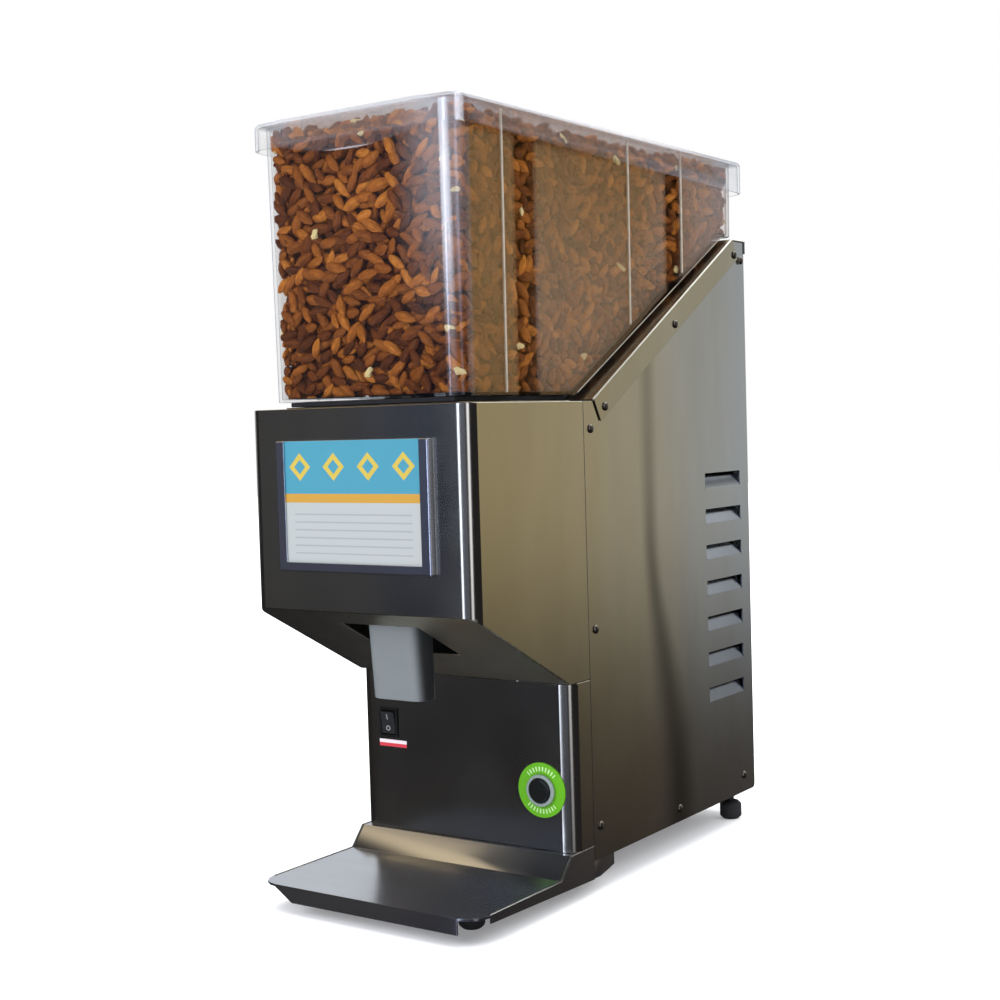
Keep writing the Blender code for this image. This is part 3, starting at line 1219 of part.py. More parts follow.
def motor_shelf():
    """Shelf across the case, folded down at both sides, that carries the motor."""
    profile = ((-INNER_HALF, SHELF_HEIGHT - SHELF_FLANGE), (-INNER_HALF, SHELF_HEIGHT, 2 * SHEET),
               (INNER_HALF, SHELF_HEIGHT, 2 * SHEET), (INNER_HALF, SHELF_HEIGHT - SHELF_FLANGE))
    return bent_sheet("motor_shelf", profile, "XZ", FRAME_FRONT - SHELF_MARGIN, FRAME_REAR + SHELF_MARGIN,
                      (0, SEAM, 0), "galvanised_steel")


def motor_cradle():
    """Two plates on the shelf, hollowed to the motor frame."""
    low = SHELF_HEIGHT + CLEARANCE
    radius = MOTOR_RADIUS + CLEARANCE
    reach = math.degrees(math.asin((SHAFT_HEIGHT - low - CRADLE_RISE) / radius))
    hollow = arc((0, SHAFT_HEIGHT), radius, reach - 180, -reach, 12)
    outline = [(hollow[0].x, low), (hollow[-1].x, low), *reversed(hollow)]
    for number, middle in enumerate((FRAME_FRONT + 2 * CRADLE_WIDTH, FRAME_REAR - 2 * CRADLE_WIDTH), 1):
        plate(f"motor_cradle_{number}", [outline], "XZ", middle - CRADLE_WIDTH / 2, middle + CRADLE_WIDTH / 2,
              "cast_aluminium")


# Front fittings


def sign_holder():
    """Folded frame on the head with a slot that takes the card from above."""
    rear = -CLEARANCE
    front = rear - HOLDER_DEPTH
    half = HOLDER_WIDTH / 2
    top = HOLDER_BOTTOM + HOLDER_HEIGHT
    shown = CARD_SHOWN_WIDTH / 2
    made = box("sign_holder", (-half, front, HOLDER_BOTTOM), (half, rear, top), "case_steel")
    edge = made.modifiers.new("edge", "BEVEL")
    edge.width = HOLDER_LIP
    edge.segments = 2
    window = box("window", (-shown, front - HOLDER_LIP, CARD_SHOWN_BOTTOM),
                 (shown, front + 2 * HOLDER_LIP, top + HOLDER_LIP))
    slot_half = shown + CARD_TUCK + CLEARANCE
    slot = box("slot", (-slot_half, front + HOLDER_LIP, CARD_SHOWN_BOTTOM - CARD_TUCK - CLEARANCE),
               (slot_half, front + HOLDER_LIP + CARD_THICKNESS + 2 * CLEARANCE, top + HOLDER_LIP))
    wall = 2 * HOLDER_LIP
    back = front + HOLDER_LIP + CARD_THICKNESS + 2 * CLEARANCE + HOLDER_LIP
    hollow = box("hollow", (wall - half, back, HOLDER_BOTTOM + wall), (half - wall, HOLDER_LIP, top - wall))
    return cut(made, window, slot, hollow)


def sign_card():
    """The card, tucked behind the holder's lips."""
    low = -HOLDER_DEPTH + HOLDER_LIP
    half = CARD_SHOWN_WIDTH / 2 + CARD_TUCK
    top = HOLDER_BOTTOM + HOLDER_HEIGHT - CLEARANCE
    made = box("sign_card", (-half, low, CARD_SHOWN_BOTTOM - CARD_TUCK), (half, low + CARD_THICKNESS, top),
               "card")
    return pivot(made, (0, low, CARD_SHOWN_BOTTOM))


def switch_neck_half():
    """Half sizes of the switch body behind its bezel, room for the rocker and a wall."""
    return ROCKER_WIDTH / 2 + SHEET, ROCKER_TALL / 2 + SHEET


def rocker_bezel():
    """Switch body: a rim in front of the column and a box behind it, hollow for the rocker."""
    rear = COLUMN_FRONT - CLEARANCE
    front = rear - BEZEL_PROUD
    neck_x, neck_z = switch_neck_half()
    made = box("rocker_bezel", (SWITCH_X - BEZEL_WIDTH / 2, front, SWITCH_HEIGHT - BEZEL_TALL / 2),
               (SWITCH_X + BEZEL_WIDTH / 2, rear, SWITCH_HEIGHT + BEZEL_TALL / 2), "black_plastic")
    body = box("switch_body", (SWITCH_X - neck_x, rear - BEZEL_PROUD / 2, SWITCH_HEIGHT - neck_z),
               (SWITCH_X + neck_x, rear + SWITCH_BODY_DEPTH, SWITCH_HEIGHT + neck_z))
    room_x = ROCKER_WIDTH / 2 + CLEARANCE
    room_z = ROCKER_TALL / 2 + CLEARANCE * 2
    room = box("rocker_room", (SWITCH_X - room_x, front - BEZEL_PROUD, SWITCH_HEIGHT - room_z),
               (SWITCH_X + room_x, rear + ROCKER_TALL / 2 + SHEET, SWITCH_HEIGHT + room_z))
    combine(made, body, "UNION")
    return cut(made, room)


def rocker():
    """Rocker with two faces that meet in a shallow valley, rounded behind its pivot."""
    half = ROCKER_TALL / 2
    face = -ROCKER_PEAK
    reach = math.degrees(math.asin(min(1.0, ROCKER_PEAK / half)))
    chord = half * math.cos(math.radians(reach))
    behind = arc((0, 0), half, 90 - reach, -90 + reach, 10)
    outline = [(face, chord), (face + 0.4 * ROCKER_PEAK, 0), (face, -chord), *reversed(behind)]
    pivot_point = (SWITCH_X, COLUMN_FRONT, SWITCH_HEIGHT)
    moved = [(point[0] + pivot_point[1], point[1] + pivot_point[2]) for point in outline]
    made = plate("rocker", [moved], "YZ", SWITCH_X - ROCKER_WIDTH / 2, SWITCH_X + ROCKER_WIDTH / 2,
                 "black_plastic")
    pivot(made, pivot_point)
    made.rotation_euler = (ROCKER_TILT, 0, 0)
    return made


def button_ring():
    """Flat coloured ring round the start button."""
    rear = COLUMN_FRONT - CLEARANCE
    centre = (BUTTON_X, BUTTON_HEIGHT)
    outline = circle(centre, RING_RADIUS, 48)
    hole = circle(centre, COLLAR_NECK + CLEARANCE)
    return smooth(plate("button_ring", [outline, hole], "XZ", rear - RING_THICKNESS, rear, "ring_green"))


def button_collar():
    """Pale collar through the column with a closed floor behind the button's cap."""
    seat = COLUMN_FRONT - 2 * CLEARANCE - RING_THICKNESS
    front = seat - COLLAR_PROUD
    rear = COLUMN_FRONT + COLLAR_DEPTH
    bore = CAP_RADIUS + CLEARANCE
    guide = CAP_STEM + CLEARANCE
    floor = rear - 2 * SHEET
    made = turned("button_collar", [(COLLAR_NECK, rear), (COLLAR_NECK, seat), (COLLAR_RADIUS, seat),
                                    (COLLAR_RADIUS, front + SHEET / 2), (COLLAR_RADIUS - SHEET / 2, front),
                                    (bore, front), (bore, floor), (guide, floor), (guide, rear)],
                  (BUTTON_X, BUTTON_HEIGHT), "pale_plastic")
    return smooth(made)


def start_button():
    """Black cap on a stem that slides in the collar."""
    collar_front = COLUMN_FRONT - 2 * CLEARANCE - RING_THICKNESS - COLLAR_PROUD
    front = collar_front - CAP_PROUD + COLLAR_PROUD
    stem_end = COLUMN_FRONT + COLLAR_DEPTH - SHEET - front
    made = turned("start_button", [(0, stem_end), (CAP_STEM, stem_end), (CAP_STEM, CAP_LENGTH),
                                   (CAP_RADIUS, CAP_LENGTH), (CAP_RADIUS, SHEET), (CAP_RADIUS - SHEET, 0),
                                   (0, 0)], (BUTTON_X, BUTTON_HEIGHT), "black_plastic")
    made.location.y = front
    return smooth(made)


def contact_block():
    """Switch block on the rear of the collar, hollow where the button's stem comes in."""
    low = COLUMN_FRONT + COLLAR_DEPTH + CLEARANCE
    half = CONTACT_BLOCK / 2
    made = box("contact_block", (BUTTON_X - half, low, BUTTON_HEIGHT - half),
               (BUTTON_X + half, low + CONTACT_DEPTH, BUTTON_HEIGHT + half), "black_plastic")
    return cut(made, rod("stem_hole", (BUTTON_X, BUTTON_HEIGHT), CAP_STEM + CLEARANCE, low - SHEET,
                         low + BUTTON_TRAVEL + SHEET, segments=16))


def power_inlet():
    """Mains inlet in the rear wall: a flanged body with a socket and three pins."""
    seat = CASE_REAR + CLEARANCE
    rear = seat + INLET_FLANGE
    centre = (INLET_X, INLET_HEIGHT)

    def around(wide, tall, round_by):
        corners = rectangle((centre[0] - wide / 2, centre[1] - tall / 2),
                            (centre[0] + wide / 2, centre[1] + tall / 2))
        return rounded([(x, z, round_by) for x, z in corners], steps=3)

    made = plate("power_inlet", [around(INLET_FLANGE_WIDTH, INLET_FLANGE_TALL, 0.004)], "XZ", seat, rear,
                 "black_plastic")
    body = plate("inlet_body", [around(INLET_BODY_WIDTH, INLET_BODY_TALL, 0.003)], "XZ", seat - INLET_DEPTH,
                 seat + INLET_FLANGE / 2)
    socket = plate("inlet_socket", [around(INLET_SOCKET_WIDTH, INLET_SOCKET_TALL, 0.003)], "XZ",
                   rear - INLET_SOCKET_DEPTH, rear + INLET_FLANGE)
    bm = bmesh.new()
    for shift, drop in ((-PIN_SPACING, -0.002), (0, 0.002), (PIN_SPACING, -0.002)):
        pin = bmesh.ops.create_cube(bm, size=1)["verts"]
        bmesh.ops.scale(bm, verts=pin, vec=(0.002, PIN_LENGTH + SHEET, 0.004))
        bmesh.ops.translate(bm, verts=pin, vec=(centre[0] + shift, rear - INLET_SOCKET_DEPTH + PIN_LENGTH / 2,
                                                centre[1] + drop))
    pins = place("inlet_pins", mesh_from(bm, "inlet_pins"))
    combine(made, body, "UNION")
    cut(made, socket)
    return combine(made, pins, "UNION")


def build():
    """Builds every part."""
    clear_scene()
    throat_hole()
    head_cover()
    column_front()
    side_panel("side_panel_right", 1)
    side_panel("side_panel_left", -1)
    rear_panel()
    saddle()
    tray()
    base_pan()
    feet()
    screws()
    hopper()
    nut_fill()
    lid()
    gasket()
    mill_housing()
    mill_cover()
    fixed_disc()
    turning_disc()
    disc_nut()
    auger()
    spout()
    motor_frame()
    motor_bell("motor_bell_front", MOTOR_FRONT, FRAME_FRONT)
    motor_bell("motor_bell_rear", MOTOR_REAR, FRAME_REAR)
    bearings()
    rotor()
    fan()
    fan_cowl()
    capacitor()
    motor_shelf()
    motor_cradle()
    sign_holder()
    sign_card()
    rocker_bezel()
    rocker()
    button_ring()
    button_collar()
    start_button()
    contact_block()
    power_inlet()


build()
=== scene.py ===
"""Looks of a countertop nut butter grinder, laid out as a Blender add-on and run as a script."""

import math

import bmesh
import bpy
import numpy as np
from bpy.props import FloatProperty, FloatVectorProperty, IntProperty, PointerProperty
from bpy.types import Operator, Panel, PropertyGroup
from mathutils import Matrix, Vector
from mathutils.bvhtree import BVHTree


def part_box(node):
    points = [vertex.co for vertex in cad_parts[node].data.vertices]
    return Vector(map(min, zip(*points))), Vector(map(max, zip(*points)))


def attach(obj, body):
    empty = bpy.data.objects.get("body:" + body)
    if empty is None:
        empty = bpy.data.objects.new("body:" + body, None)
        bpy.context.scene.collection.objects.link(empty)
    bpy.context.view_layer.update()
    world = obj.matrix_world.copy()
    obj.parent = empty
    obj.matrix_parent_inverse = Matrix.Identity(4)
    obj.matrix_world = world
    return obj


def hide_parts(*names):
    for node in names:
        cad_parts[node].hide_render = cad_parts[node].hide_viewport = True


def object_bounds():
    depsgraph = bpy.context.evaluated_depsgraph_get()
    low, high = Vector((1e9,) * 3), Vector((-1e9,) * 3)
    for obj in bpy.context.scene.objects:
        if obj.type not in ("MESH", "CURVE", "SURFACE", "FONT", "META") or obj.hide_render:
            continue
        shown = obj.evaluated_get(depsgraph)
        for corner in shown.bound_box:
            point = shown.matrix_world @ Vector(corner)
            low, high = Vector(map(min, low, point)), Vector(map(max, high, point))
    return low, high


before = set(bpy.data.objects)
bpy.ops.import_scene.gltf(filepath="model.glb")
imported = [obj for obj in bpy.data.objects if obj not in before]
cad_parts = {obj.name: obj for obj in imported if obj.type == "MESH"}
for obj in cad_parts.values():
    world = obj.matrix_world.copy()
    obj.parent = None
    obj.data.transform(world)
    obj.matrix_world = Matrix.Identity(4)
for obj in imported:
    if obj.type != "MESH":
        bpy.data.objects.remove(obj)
CAD_BOX = [list(corner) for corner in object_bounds()]

bl_info = {
    "name": "Nut Butter Grinder Looks",
    "version": (1, 0, 0),
    "blender": (4, 5, 0),
    "location": "3D View > Sidebar > Grinder",
    "description": "Dresses the frame of a nut butter grinder and sets its studio",
    "category": "Object",
}

CASE = "case"
HOPPER = "hopper"
LID = "lid"

# Camera that matches the photograph, in metres and degrees
CAMERA_PLACE = (0.9038, -1.3466, 0.4480)
CAMERA_TURN = (87.179, 1.685, 34.703)
CAMERA_LENS = 57.2
CAMERA_SENSOR = 36.0

# Studio: dim room, then softboxes as left, right, side softness, low, high, height softness in degrees,
# tint and strength, then the ceiling. Azimuth 0 is right of the grinder and 90 is behind it.
ROOM = (0.022, 0.021, 0.024)
SOFTBOXES = (
    (-104, -95, 2.5, -12, 60, 9, (0.84, 0.95, 1.30), 4.2),
    (-92, -52, 3, -13, 60, 9, (0.22, 0.25, 0.36), 0.55),
    (-38, -20, 3, -10.4, 60, 9, (0.70, 0.72, 0.86), 2.1),
    (-128, -114, 3, -6, 40, 6, (0.15, 0.35, 1.00), 0.05),
    (-152, -124, 4, -8, 60, 2, (0.95, 1.0, 1.2), 0.050),
    (-152, -120, 4, -40, -15.5, 1.5, (1.0, 0.95, 0.90), 0.030),
    (46, 61.3, 3, -7.4, 12, 5.6, (0.43, 0.355, 0.20), 1.0),
    (61.3, 104, 3, -7.4, 12, 5.2, (0.47, 0.50, 0.53), 1.0),
    (44, 104, 6, 17, 26, 3, (0.47, 0.50, 0.54), 1.0),
    (44, 104, 3, -15.5, -10, 2, (0.04, 0.03, 0.02), 1.0),
    (48, 128, 8, 26, 62, 3, (1.0, 1.0, 1.0), 2.4),
    (127.2, 179, 4.5, -1, 34, 4, (0.66, 0.70, 0.76), 0.92),
    (-184, -151.2, 1.4, 36, 68, 6, (0.64, 0.52, 0.33), 1.35),
    (163, 184, 4, 36, 68, 6, (0.64, 0.52, 0.33), 1.3),
)
CEILING = ((76, 8), (1.0, 0.99, 0.97), 2.5)

# Soft lamps that the steel doesn't mirror: place, watts and side, and the place that they are turned to
LAMPS = {
    "key": ((-0.7, -1.9, 1.25), 27.0, 1.0),
    "fill": ((1.7, 0.35, 1.5), 20.0, 1.0),
    "overhead": ((0.0, -0.2, 3.2), 130.0, 4.0),
}
LAMP_AIM = (0, 0, 0.4)

# Sizes of the looks alone
EDGE_ROUND = 0.0008
MERGE = 0.00001
LIP_DEPTH = 0.003
LIP_TAPER = 0.020
HEM_WIDTH = 0.0065
HEM_DROP = 0.0015
TRAY_BEAD = 0.0015
SADDLE_BEAD = 0.0013
BEAD_SUNK = 0.5
NUT_WALL_DEPTH = 0.0058
NUT_TOP_DEPTH = -0.0060
NUT_HEART_DEPTH = 0.010
HEAP_CROWN = 0.0105
CHIP_DEPTH = 0.0022
DECAL_PROUD = 0.00008

# Heights over which the bright beads run along the folded edges
TRAY_EDGE_ABOVE = 0.026
SADDLE_EDGE_ABOVE = 0.460

# Duller stretches of steel: half width, low, high and added roughness
SADDLE_MATT = (0.1262, 0.40, 0.70, 0.06)
CHIN_MATT = (0.1235, 0.203, 0.2815, 0.26)

# Half width past which a face of the case is a side sheet, and the middle in y of its turn to a cooler tint
SIDE_SHEET = 0.12
COOLER_MIDDLE = 0.075

# Painted dark reflection down the side sheets: its y at the top and at the floor, and its half width
STREAK = (0.035, 0.085)
STREAK_HALF = 0.022

# Screw heads: rings of radius and height, the inner three the recess, then (y, z) of those without a node
SCREW_STEPS = 16
SCREW_PROFILE = ((0.0042, 0.0), (0.0042, 0.0005), (0.0037, 0.0012), (0.0028, 0.0017), (0.0020, 0.00185),
                 (0.0017, 0.0012), (0.0012, 0.0008))
PAN_SCREWS = ((0.08325, 0.045), (0.23225, 0.050))
CREST_SCREW = (0.2480, 0.6165)

# Inside of the hopper as the nuts meet it: runs from the front, half widths there, corner and draft
HOPPER_RUNS = (0.0, 0.065, 0.117, 0.364, 0.384)
HOPPER_HALVES = (0.1084, 0.1084, 0.1054, 0.1054, 0.1124)
HOPPER_CORNER = 0.0110
HOPPER_DRAFT = 0.0021
FLOOR_RUNS = (-0.0686, 0.2292)
FLOOR_HEIGHTS = (0.4746, 0.6465)

# Outside of the hopper: runs of its ribs and of the clear stretches between those with a painted reflection,
# from the front; then the half width and the top of that painted reflection
RIB_STEPS = 24
RIB_RADIUS = 0.0014
RIB_RUNS = (0.068, 0.293, 0.390)
CLEAR_RUNS = ((0.088, 0.126), (0.368, 0.3885))
HOPPER_SIDE = 0.1045
VEIL_TOP = 0.700

# Pale bar along the foot of the hopper's sides, a painted highlight: its ends in y, how far it hangs, and its
# radius
RIM_RUNS = (-0.066, 0.2240)
RIM_DROP = 0.0026
RIM_RADIUS = 0.0006

# Paler stretches of the lid: the painted glint of its front corner in x, and its skirt's foot in z and ends in
# y
LID_GLINT = (0.1135, 0.1165)
SKIRT_FOOT = 0.704
SKIRT_RUNS = (-0.232, 0.215)

# Print of the card, in metres up from its lower edge, with its diamonds' inner and outer reach
STRIPE = (0.056, 0.064)
DIAMONDS = 4
DIAMOND_MIDDLE = 0.088
DIAMOND_REACH = (0.0065, 0.0125)
RULED = (0.010, 0.050)
RULE_PITCH = 0.0035
RULE_MARGIN = 0.012
PRINT_SOFT = 0.0002

# Marks of the rocker, the ticked band of the green ring, and the strip under the switch as two (x, z) corners
MARK_HALF = 0.0026
MARK_INNER = 0.0017
RING_STEPS = 28
TICK_BAND = (0.0178, 0.0222)
TICK_ARC = 46
STRIP = ((-0.103, 0.1275), (-0.069, 0.1345))


class StageSettings(PropertyGroup):
    floor_colour: FloatVectorProperty(
        name="Floor", description="Colour of the floor", subtype="COLOR", min=0, max=1,
        default=(0.86, 0.87, 0.88))
    floor_radius: FloatProperty(
        name="Floor radius", description="Radius of the round floor", default=9.0, unit="LENGTH")
    sky_strength: FloatProperty(
        name="Studio strength", description="Brightness of the whole studio", default=1.0, min=0)
    lamp_power: FloatProperty(
        name="Lamp power", description="Brightness of the soft lamps", default=1.0, min=0)
    floor_glow: FloatProperty(
        name="Floor glow", description="Light of the floor's own that keeps it pale", default=0.24, min=0)


class SteelSettings(PropertyGroup):
    case_tint: FloatVectorProperty(
        name="Case", description="Tint of the case sheets", subtype="COLOR", min=0, max=1,
        default=(0.60, 0.57, 0.47))
    trim_tint: FloatVectorProperty(
        name="Trim", description="Tint of the saddle", subtype="COLOR", min=0, max=1,
        default=(0.54, 0.51, 0.40))
    holder_tint: FloatVectorProperty(
        name="Holder", description="Tint of the sign holder", subtype="COLOR", min=0, max=1,
        default=(0.74, 0.78, 0.88))
    tray_tint: FloatVectorProperty(
        name="Tray", description="Tint of the tray", subtype="COLOR", min=0, max=1, default=(0.68, 0.68, 0.69))
    roughness: FloatProperty(
        name="Roughness", description="Mean roughness of the brushed sheets", default=0.17, min=0, max=1)
    grain: FloatProperty(
        name="Grain width", description="Width of one brushing line", default=0.0004, unit="LENGTH")
    bead_highlight_tint: FloatVectorProperty(
        name="Bead", description="Tint of the saddle's bright edge", subtype="COLOR", min=0, max=1,
        default=(0.92, 0.90, 0.82))
    edge_tint: FloatVectorProperty(
        name="Edge", description="Tint of the tray's rolled edge", subtype="COLOR", min=0, max=1,
        default=(0.22, 0.22, 0.21))
    rear_tint: FloatVectorProperty(
        name="Rear", description="Cooler tint of the case toward its rear", subtype="COLOR", min=0, max=1,
        default=(0.56, 0.585, 0.60))


class NutSettings(PropertyGroup):
    length: FloatProperty(name="Length", description="Length of a nut", default=0.0228, unit="LENGTH")
    width: FloatProperty(name="Width", description="Width of a nut", default=0.0104, unit="LENGTH")
    thickness: FloatProperty(name="Thickness", description="Thickness of a nut", default=0.0080, unit="LENGTH")
    spacing: FloatProperty(
        name="Spacing", description="Least distance between neighbours in one layer", default=0.0098,
        unit="LENGTH")
    layer_pitch: FloatProperty(
        name="Layer pitch", description="Distance between layers behind the wall", default=0.0046,
        unit="LENGTH")
    layers: IntProperty(name="Layers", description="Layers of nuts behind each wall", default=3, min=1)
    slant: FloatProperty(
        name="Slant", description="Most that a nut turns from lying level", default=math.radians(68),
        subtype="ANGLE")
    tilt: FloatProperty(
        name="Tilt", description="Most that a nut leans off the wall", default=math.radians(24),
        subtype="ANGLE")
    seed: IntProperty(name="Seed", description="Seed of the nuts' places and turns", default=7)
    broken: FloatProperty(
        name="Broken spacing", description="Least distance between broken pieces", default=0.094,
        unit="LENGTH")


class PlasticSettings(PropertyGroup):
    clear_tint: FloatVectorProperty(
        name="Clear", description="Tint of the clear hopper and lid", subtype="COLOR", min=0, max=1,
        default=(0.83, 0.87, 0.96))
    # Painted reflection on the hopper's sides: its warm tint, then a paler tint toward the rear, which the
    # lid's skirt also takes
    veil_tint: FloatVectorProperty(
        name="Veil", description="Warm veil over the hopper's sides", subtype="COLOR", min=0, max=1,
        default=(0.272, 0.170, 0.076))
    rear_veil_tint: FloatVectorProperty(
        name="Rear veil", description="Paler veil toward the hopper's rear", subtype="COLOR", min=0, max=1,
        default=(0.37, 0.30, 0.27))
    hopper_haze: FloatProperty(
        name="Hopper haze", description="Share of light that one skin of the hopper holds back",
        default=0.0015, min=0)
    side_painted_reflection: FloatProperty(
        name="Side haze", description="Share that one skin holds back along the sides", default=0.19, min=0)
    lid_haze: FloatProperty(
        name="Lid haze", description="Share of light that one skin of the lid holds back", default=0.014,
        min=0)
    spout_tint: FloatVectorProperty(
        name="Spout", description="Colour of the spout", subtype="COLOR", min=0, max=1,
        default=(0.160, 0.177, 0.183))
    ring_tint: FloatVectorProperty(
        name="Ring", description="Colour of the ring round the button", subtype="COLOR", min=0, max=1,
        default=(0.112, 0.385, 0.008))


class SignSettings(PropertyGroup):
    paper: FloatVectorProperty(
        name="Paper", description="Bare card", subtype="COLOR", min=0, max=1, default=(0.318, 0.340, 0.335))
    cool: FloatVectorProperty(
        name="Cool", description="Large printed band", subtype="COLOR", min=0, max=1,
        default=(0.045, 0.215, 0.295))
    warm: FloatVectorProperty(
        name="Warm", description="Printed stripe", subtype="COLOR", min=0, max=1, default=(0.40, 0.22, 0.030))
    bright: FloatVectorProperty(
        name="Bright", description="Printed diamonds", subtype="COLOR", min=0, max=1,
        default=(0.42, 0.32, 0.05))


# Node trees


class Link:
    """An output socket that Python's arithmetic works on."""

    def __init__(self, graph, socket):
        self.graph = graph
        self.socket = socket

    def maths(self, operation, *values):
        return self.graph.add("ShaderNodeMath", {"operation": operation}, dict(enumerate(values)))

    def __add__(self, other):
        return self.maths("ADD", self, other)

    def __sub__(self, other):
        return self.maths("SUBTRACT", self, other)

    def __rsub__(self, other):
        return self.maths("SUBTRACT", other, self)

    def __mul__(self, other):
        return self.maths("MULTIPLY", self, other)

    def __truediv__(self, other):
        return self.maths("DIVIDE", self, other)

    def __pow__(self, other):
        return self.maths("POWER", self, other)

    def __abs__(self):
        return self.maths("ABSOLUTE", self)

    __radd__ = __add__
    __rmul__ = __mul__

    def over(self, edge, soft):
        """1 where the value is over an edge, 0 under it, with a soft step between."""
        return self.graph.add("ShaderNodeMapRange", {"interpolation_type": "SMOOTHSTEP"},
                              {"Value": self, "From Min": edge - soft, "From Max": edge + soft})

    def between(self, low, high, soft):
        """1 between two edges and 0 outside them."""
        return self.over(low, soft) * (1 - self.over(high, soft))


class Graph:
    """A node tree under construction."""

    def __init__(self, tree):
        self.tree = tree

    def add(self, kind, settings=None, inputs=None, output=0):
        """Adds a node, sets it up, feeds its sockets and returns one of its outputs."""
        made = self.tree.nodes.new(kind)
        for name, value in (settings or {}).items():
            if name == "stops":
                self.set_stops(made.color_ramp.elements, value)
            else:
                setattr(made, name, value)
        for name, value in (inputs or {}).items():
            self.feed(made.inputs[name], value)
        return Link(self, made.outputs[output])

    def feed(self, socket, value):
        if isinstance(value, Link):
            self.tree.links.new(value.socket, socket)
        else:
            socket.default_value = value

    def set_stops(self, elements, stops):
        for index, (position, tint) in enumerate(stops):
            stop = elements[index] if index < len(elements) else elements.new(position)
            stop.position = position
            stop.color = (*tint, 1)

    def apart(self, vector):
        """The three parts of a vector."""
        split = self.tree.nodes.new("ShaderNodeSeparateXYZ")
        self.feed(split.inputs[0], vector)
        return [Link(self, output) for output in split.outputs]

    def join(self, x, y, z):
        """A vector out of three parts."""
        return self.add("ShaderNodeCombineXYZ", None, {0: x, 1: y, 2: z})

    def random(self, low, high, seed):
        """A number between two others, drawn anew for each element."""
        return self.add("FunctionNodeRandomValue", {"data_type": "FLOAT"},
                        {"Min": low, "Max": high, "Seed": seed}, output=1)

    def scale(self, tint, share):
        """A colour or vector times a number."""
        return self.add("ShaderNodeVectorMath", {"operation": "SCALE"}, {0: tint, "Scale": share})

    def sum(self, *parts):
        """Colours added up."""
        total = parts[0]
        for part in parts[1:]:
            total = self.add("ShaderNodeVectorMath", {"operation": "ADD"}, {0: total, 1: part})
        return total

    def mix(self, share, low, high):
        """Colour that goes from low to high with the share."""
        return self.add("ShaderNodeMix", {"data_type": "RGBA"},
                        {0: share, 6: low if isinstance(low, Link) else (*low, 1),
                         7: high if isinstance(high, Link) else (*high, 1)}, output=2)


class Finish(Graph):
    """A Principled material under construction, patterned on Object coordinates."""

    def __init__(self, name, **constants):
        self.material = bpy.data.materials.new(name)
        self.material.use_nodes = True
        super().__init__(self.material.node_tree)
        self.shader = self.tree.nodes["Principled BSDF"]
        self.place = self.add("ShaderNodeTexCoord", output=3)
        for name, value in constants.items():
            self.set(name, value)

    def set(self, name, value):
        """Feeds a socket of the shader, named in lower case with underscores."""
        if not isinstance(value, Link) and name in ("base_color", "emission_color"):
            value = (*value, 1)
        self.feed(self.shader.inputs[name.replace("_", " ").title().replace("Ior", "IOR")], value)

    def noise(self, size, stretch=(1, 1, 1), detail=3.0, source=None):
        """Noise whose grains have a size in metres, longer along an axis with a small stretch."""
        spread = self.add("ShaderNodeMapping", None, {"Vector": source or self.place, "Scale": stretch})
        return self.add("ShaderNodeTexNoise", None, {"Vector": spread, "Scale": 1 / size, "Detail": detail})

    def bump(self, height, distance, strength=1.0, under=None):
        """Turns a height of 0 to 1 into a surface normal."""
        made = {"Height": height, "Distance": distance, "Strength": strength}
        if under:
            made["Normal"] = under
        return self.add("ShaderNodeBump", None, made)


def sheet_steel(name, tint, roughness, grain, along="Z", wave=0.002, rear_tint=None, matt=None):
    """Brushed sheet: fine lines, cloudy handling marks and a slow waviness that bends reflections."""
    finish = Finish(name, metallic=1.0)
    stretch = {"X": (0.02, 1, 1), "Z": (1, 1, 0.02)}[along]
    lines = finish.noise(grain, stretch, 2)
    shorter = tuple(max(0.25, part) for part in stretch)
    bands = finish.noise(0.04, shorter, 2)
    cloud = finish.noise(0.07, detail=5)
    shade = 0.84 + 0.05 * lines + 0.20 * bands + 0.10 * cloud
    x, y, z = finish.apart(finish.place)
    # With a rear tint: a cooler tint toward the rear, and a painted dark reflection darkening the side sheets
    if rear_tint:
        middle = STREAK[0] + (STREAK[1] - STREAK[0]) * (1 - z.over(0.20, 0.14))
        wide = STREAK_HALF * (1 + 0.9 * (1 - z.over(0.22, 0.08)))
        painted_streak = (1 - (abs(y - middle) / wide).over(0.5, 0.5)) * abs(x).over(SIDE_SHEET, 0.002)
        shade = shade - 0.56 * painted_streak * (0.62 + 0.38 * (1 - z.over(0.36, 0.10)))
        tint = finish.mix(y.over(COOLER_MIDDLE, 0.075), tint, rear_tint)
    finish.set("base_color", finish.scale(tint, shade))
    rough = roughness - 0.05 + 0.05 * lines + 0.09 * cloud
    if matt:
        half, bottom, top, more = matt
        rough = rough + more * z.between(bottom, top, 0.0005) * (1 - abs(x).over(half, 0.0002))
    finish.set("roughness", rough)
    waves = finish.bump(finish.noise(0.16, shorter, 1), wave)
    finish.set("normal", finish.bump(lines, 0.000004, 0.05, waves))
    return finish.material


def moulded(name, tint, roughness, texture=0.0006, depth=0.00004, painted_shade_beyond=0):
    """Moulded plastic or rubber with a fine texture, a little uneven, with painted shade on its sides past a
    half width.
    """
    finish = Finish(name)
    skin = finish.noise(texture, detail=2)
    cloud = finish.noise(0.03, detail=3)
    shade = 0.94 + 0.12 * cloud
    # Painted shade: sides past the half width are darkened in the colour
    if painted_shade_beyond:
        shade = shade * (1 - 0.90 * abs(finish.apart(finish.place)[0]).over(painted_shade_beyond, 0.0035))
    finish.set("base_color", finish.scale(tint, shade))
    finish.set("roughness", roughness - 0.06 + 0.12 * cloud)
    finish.set("normal", finish.bump(skin, depth))
    return finish.material


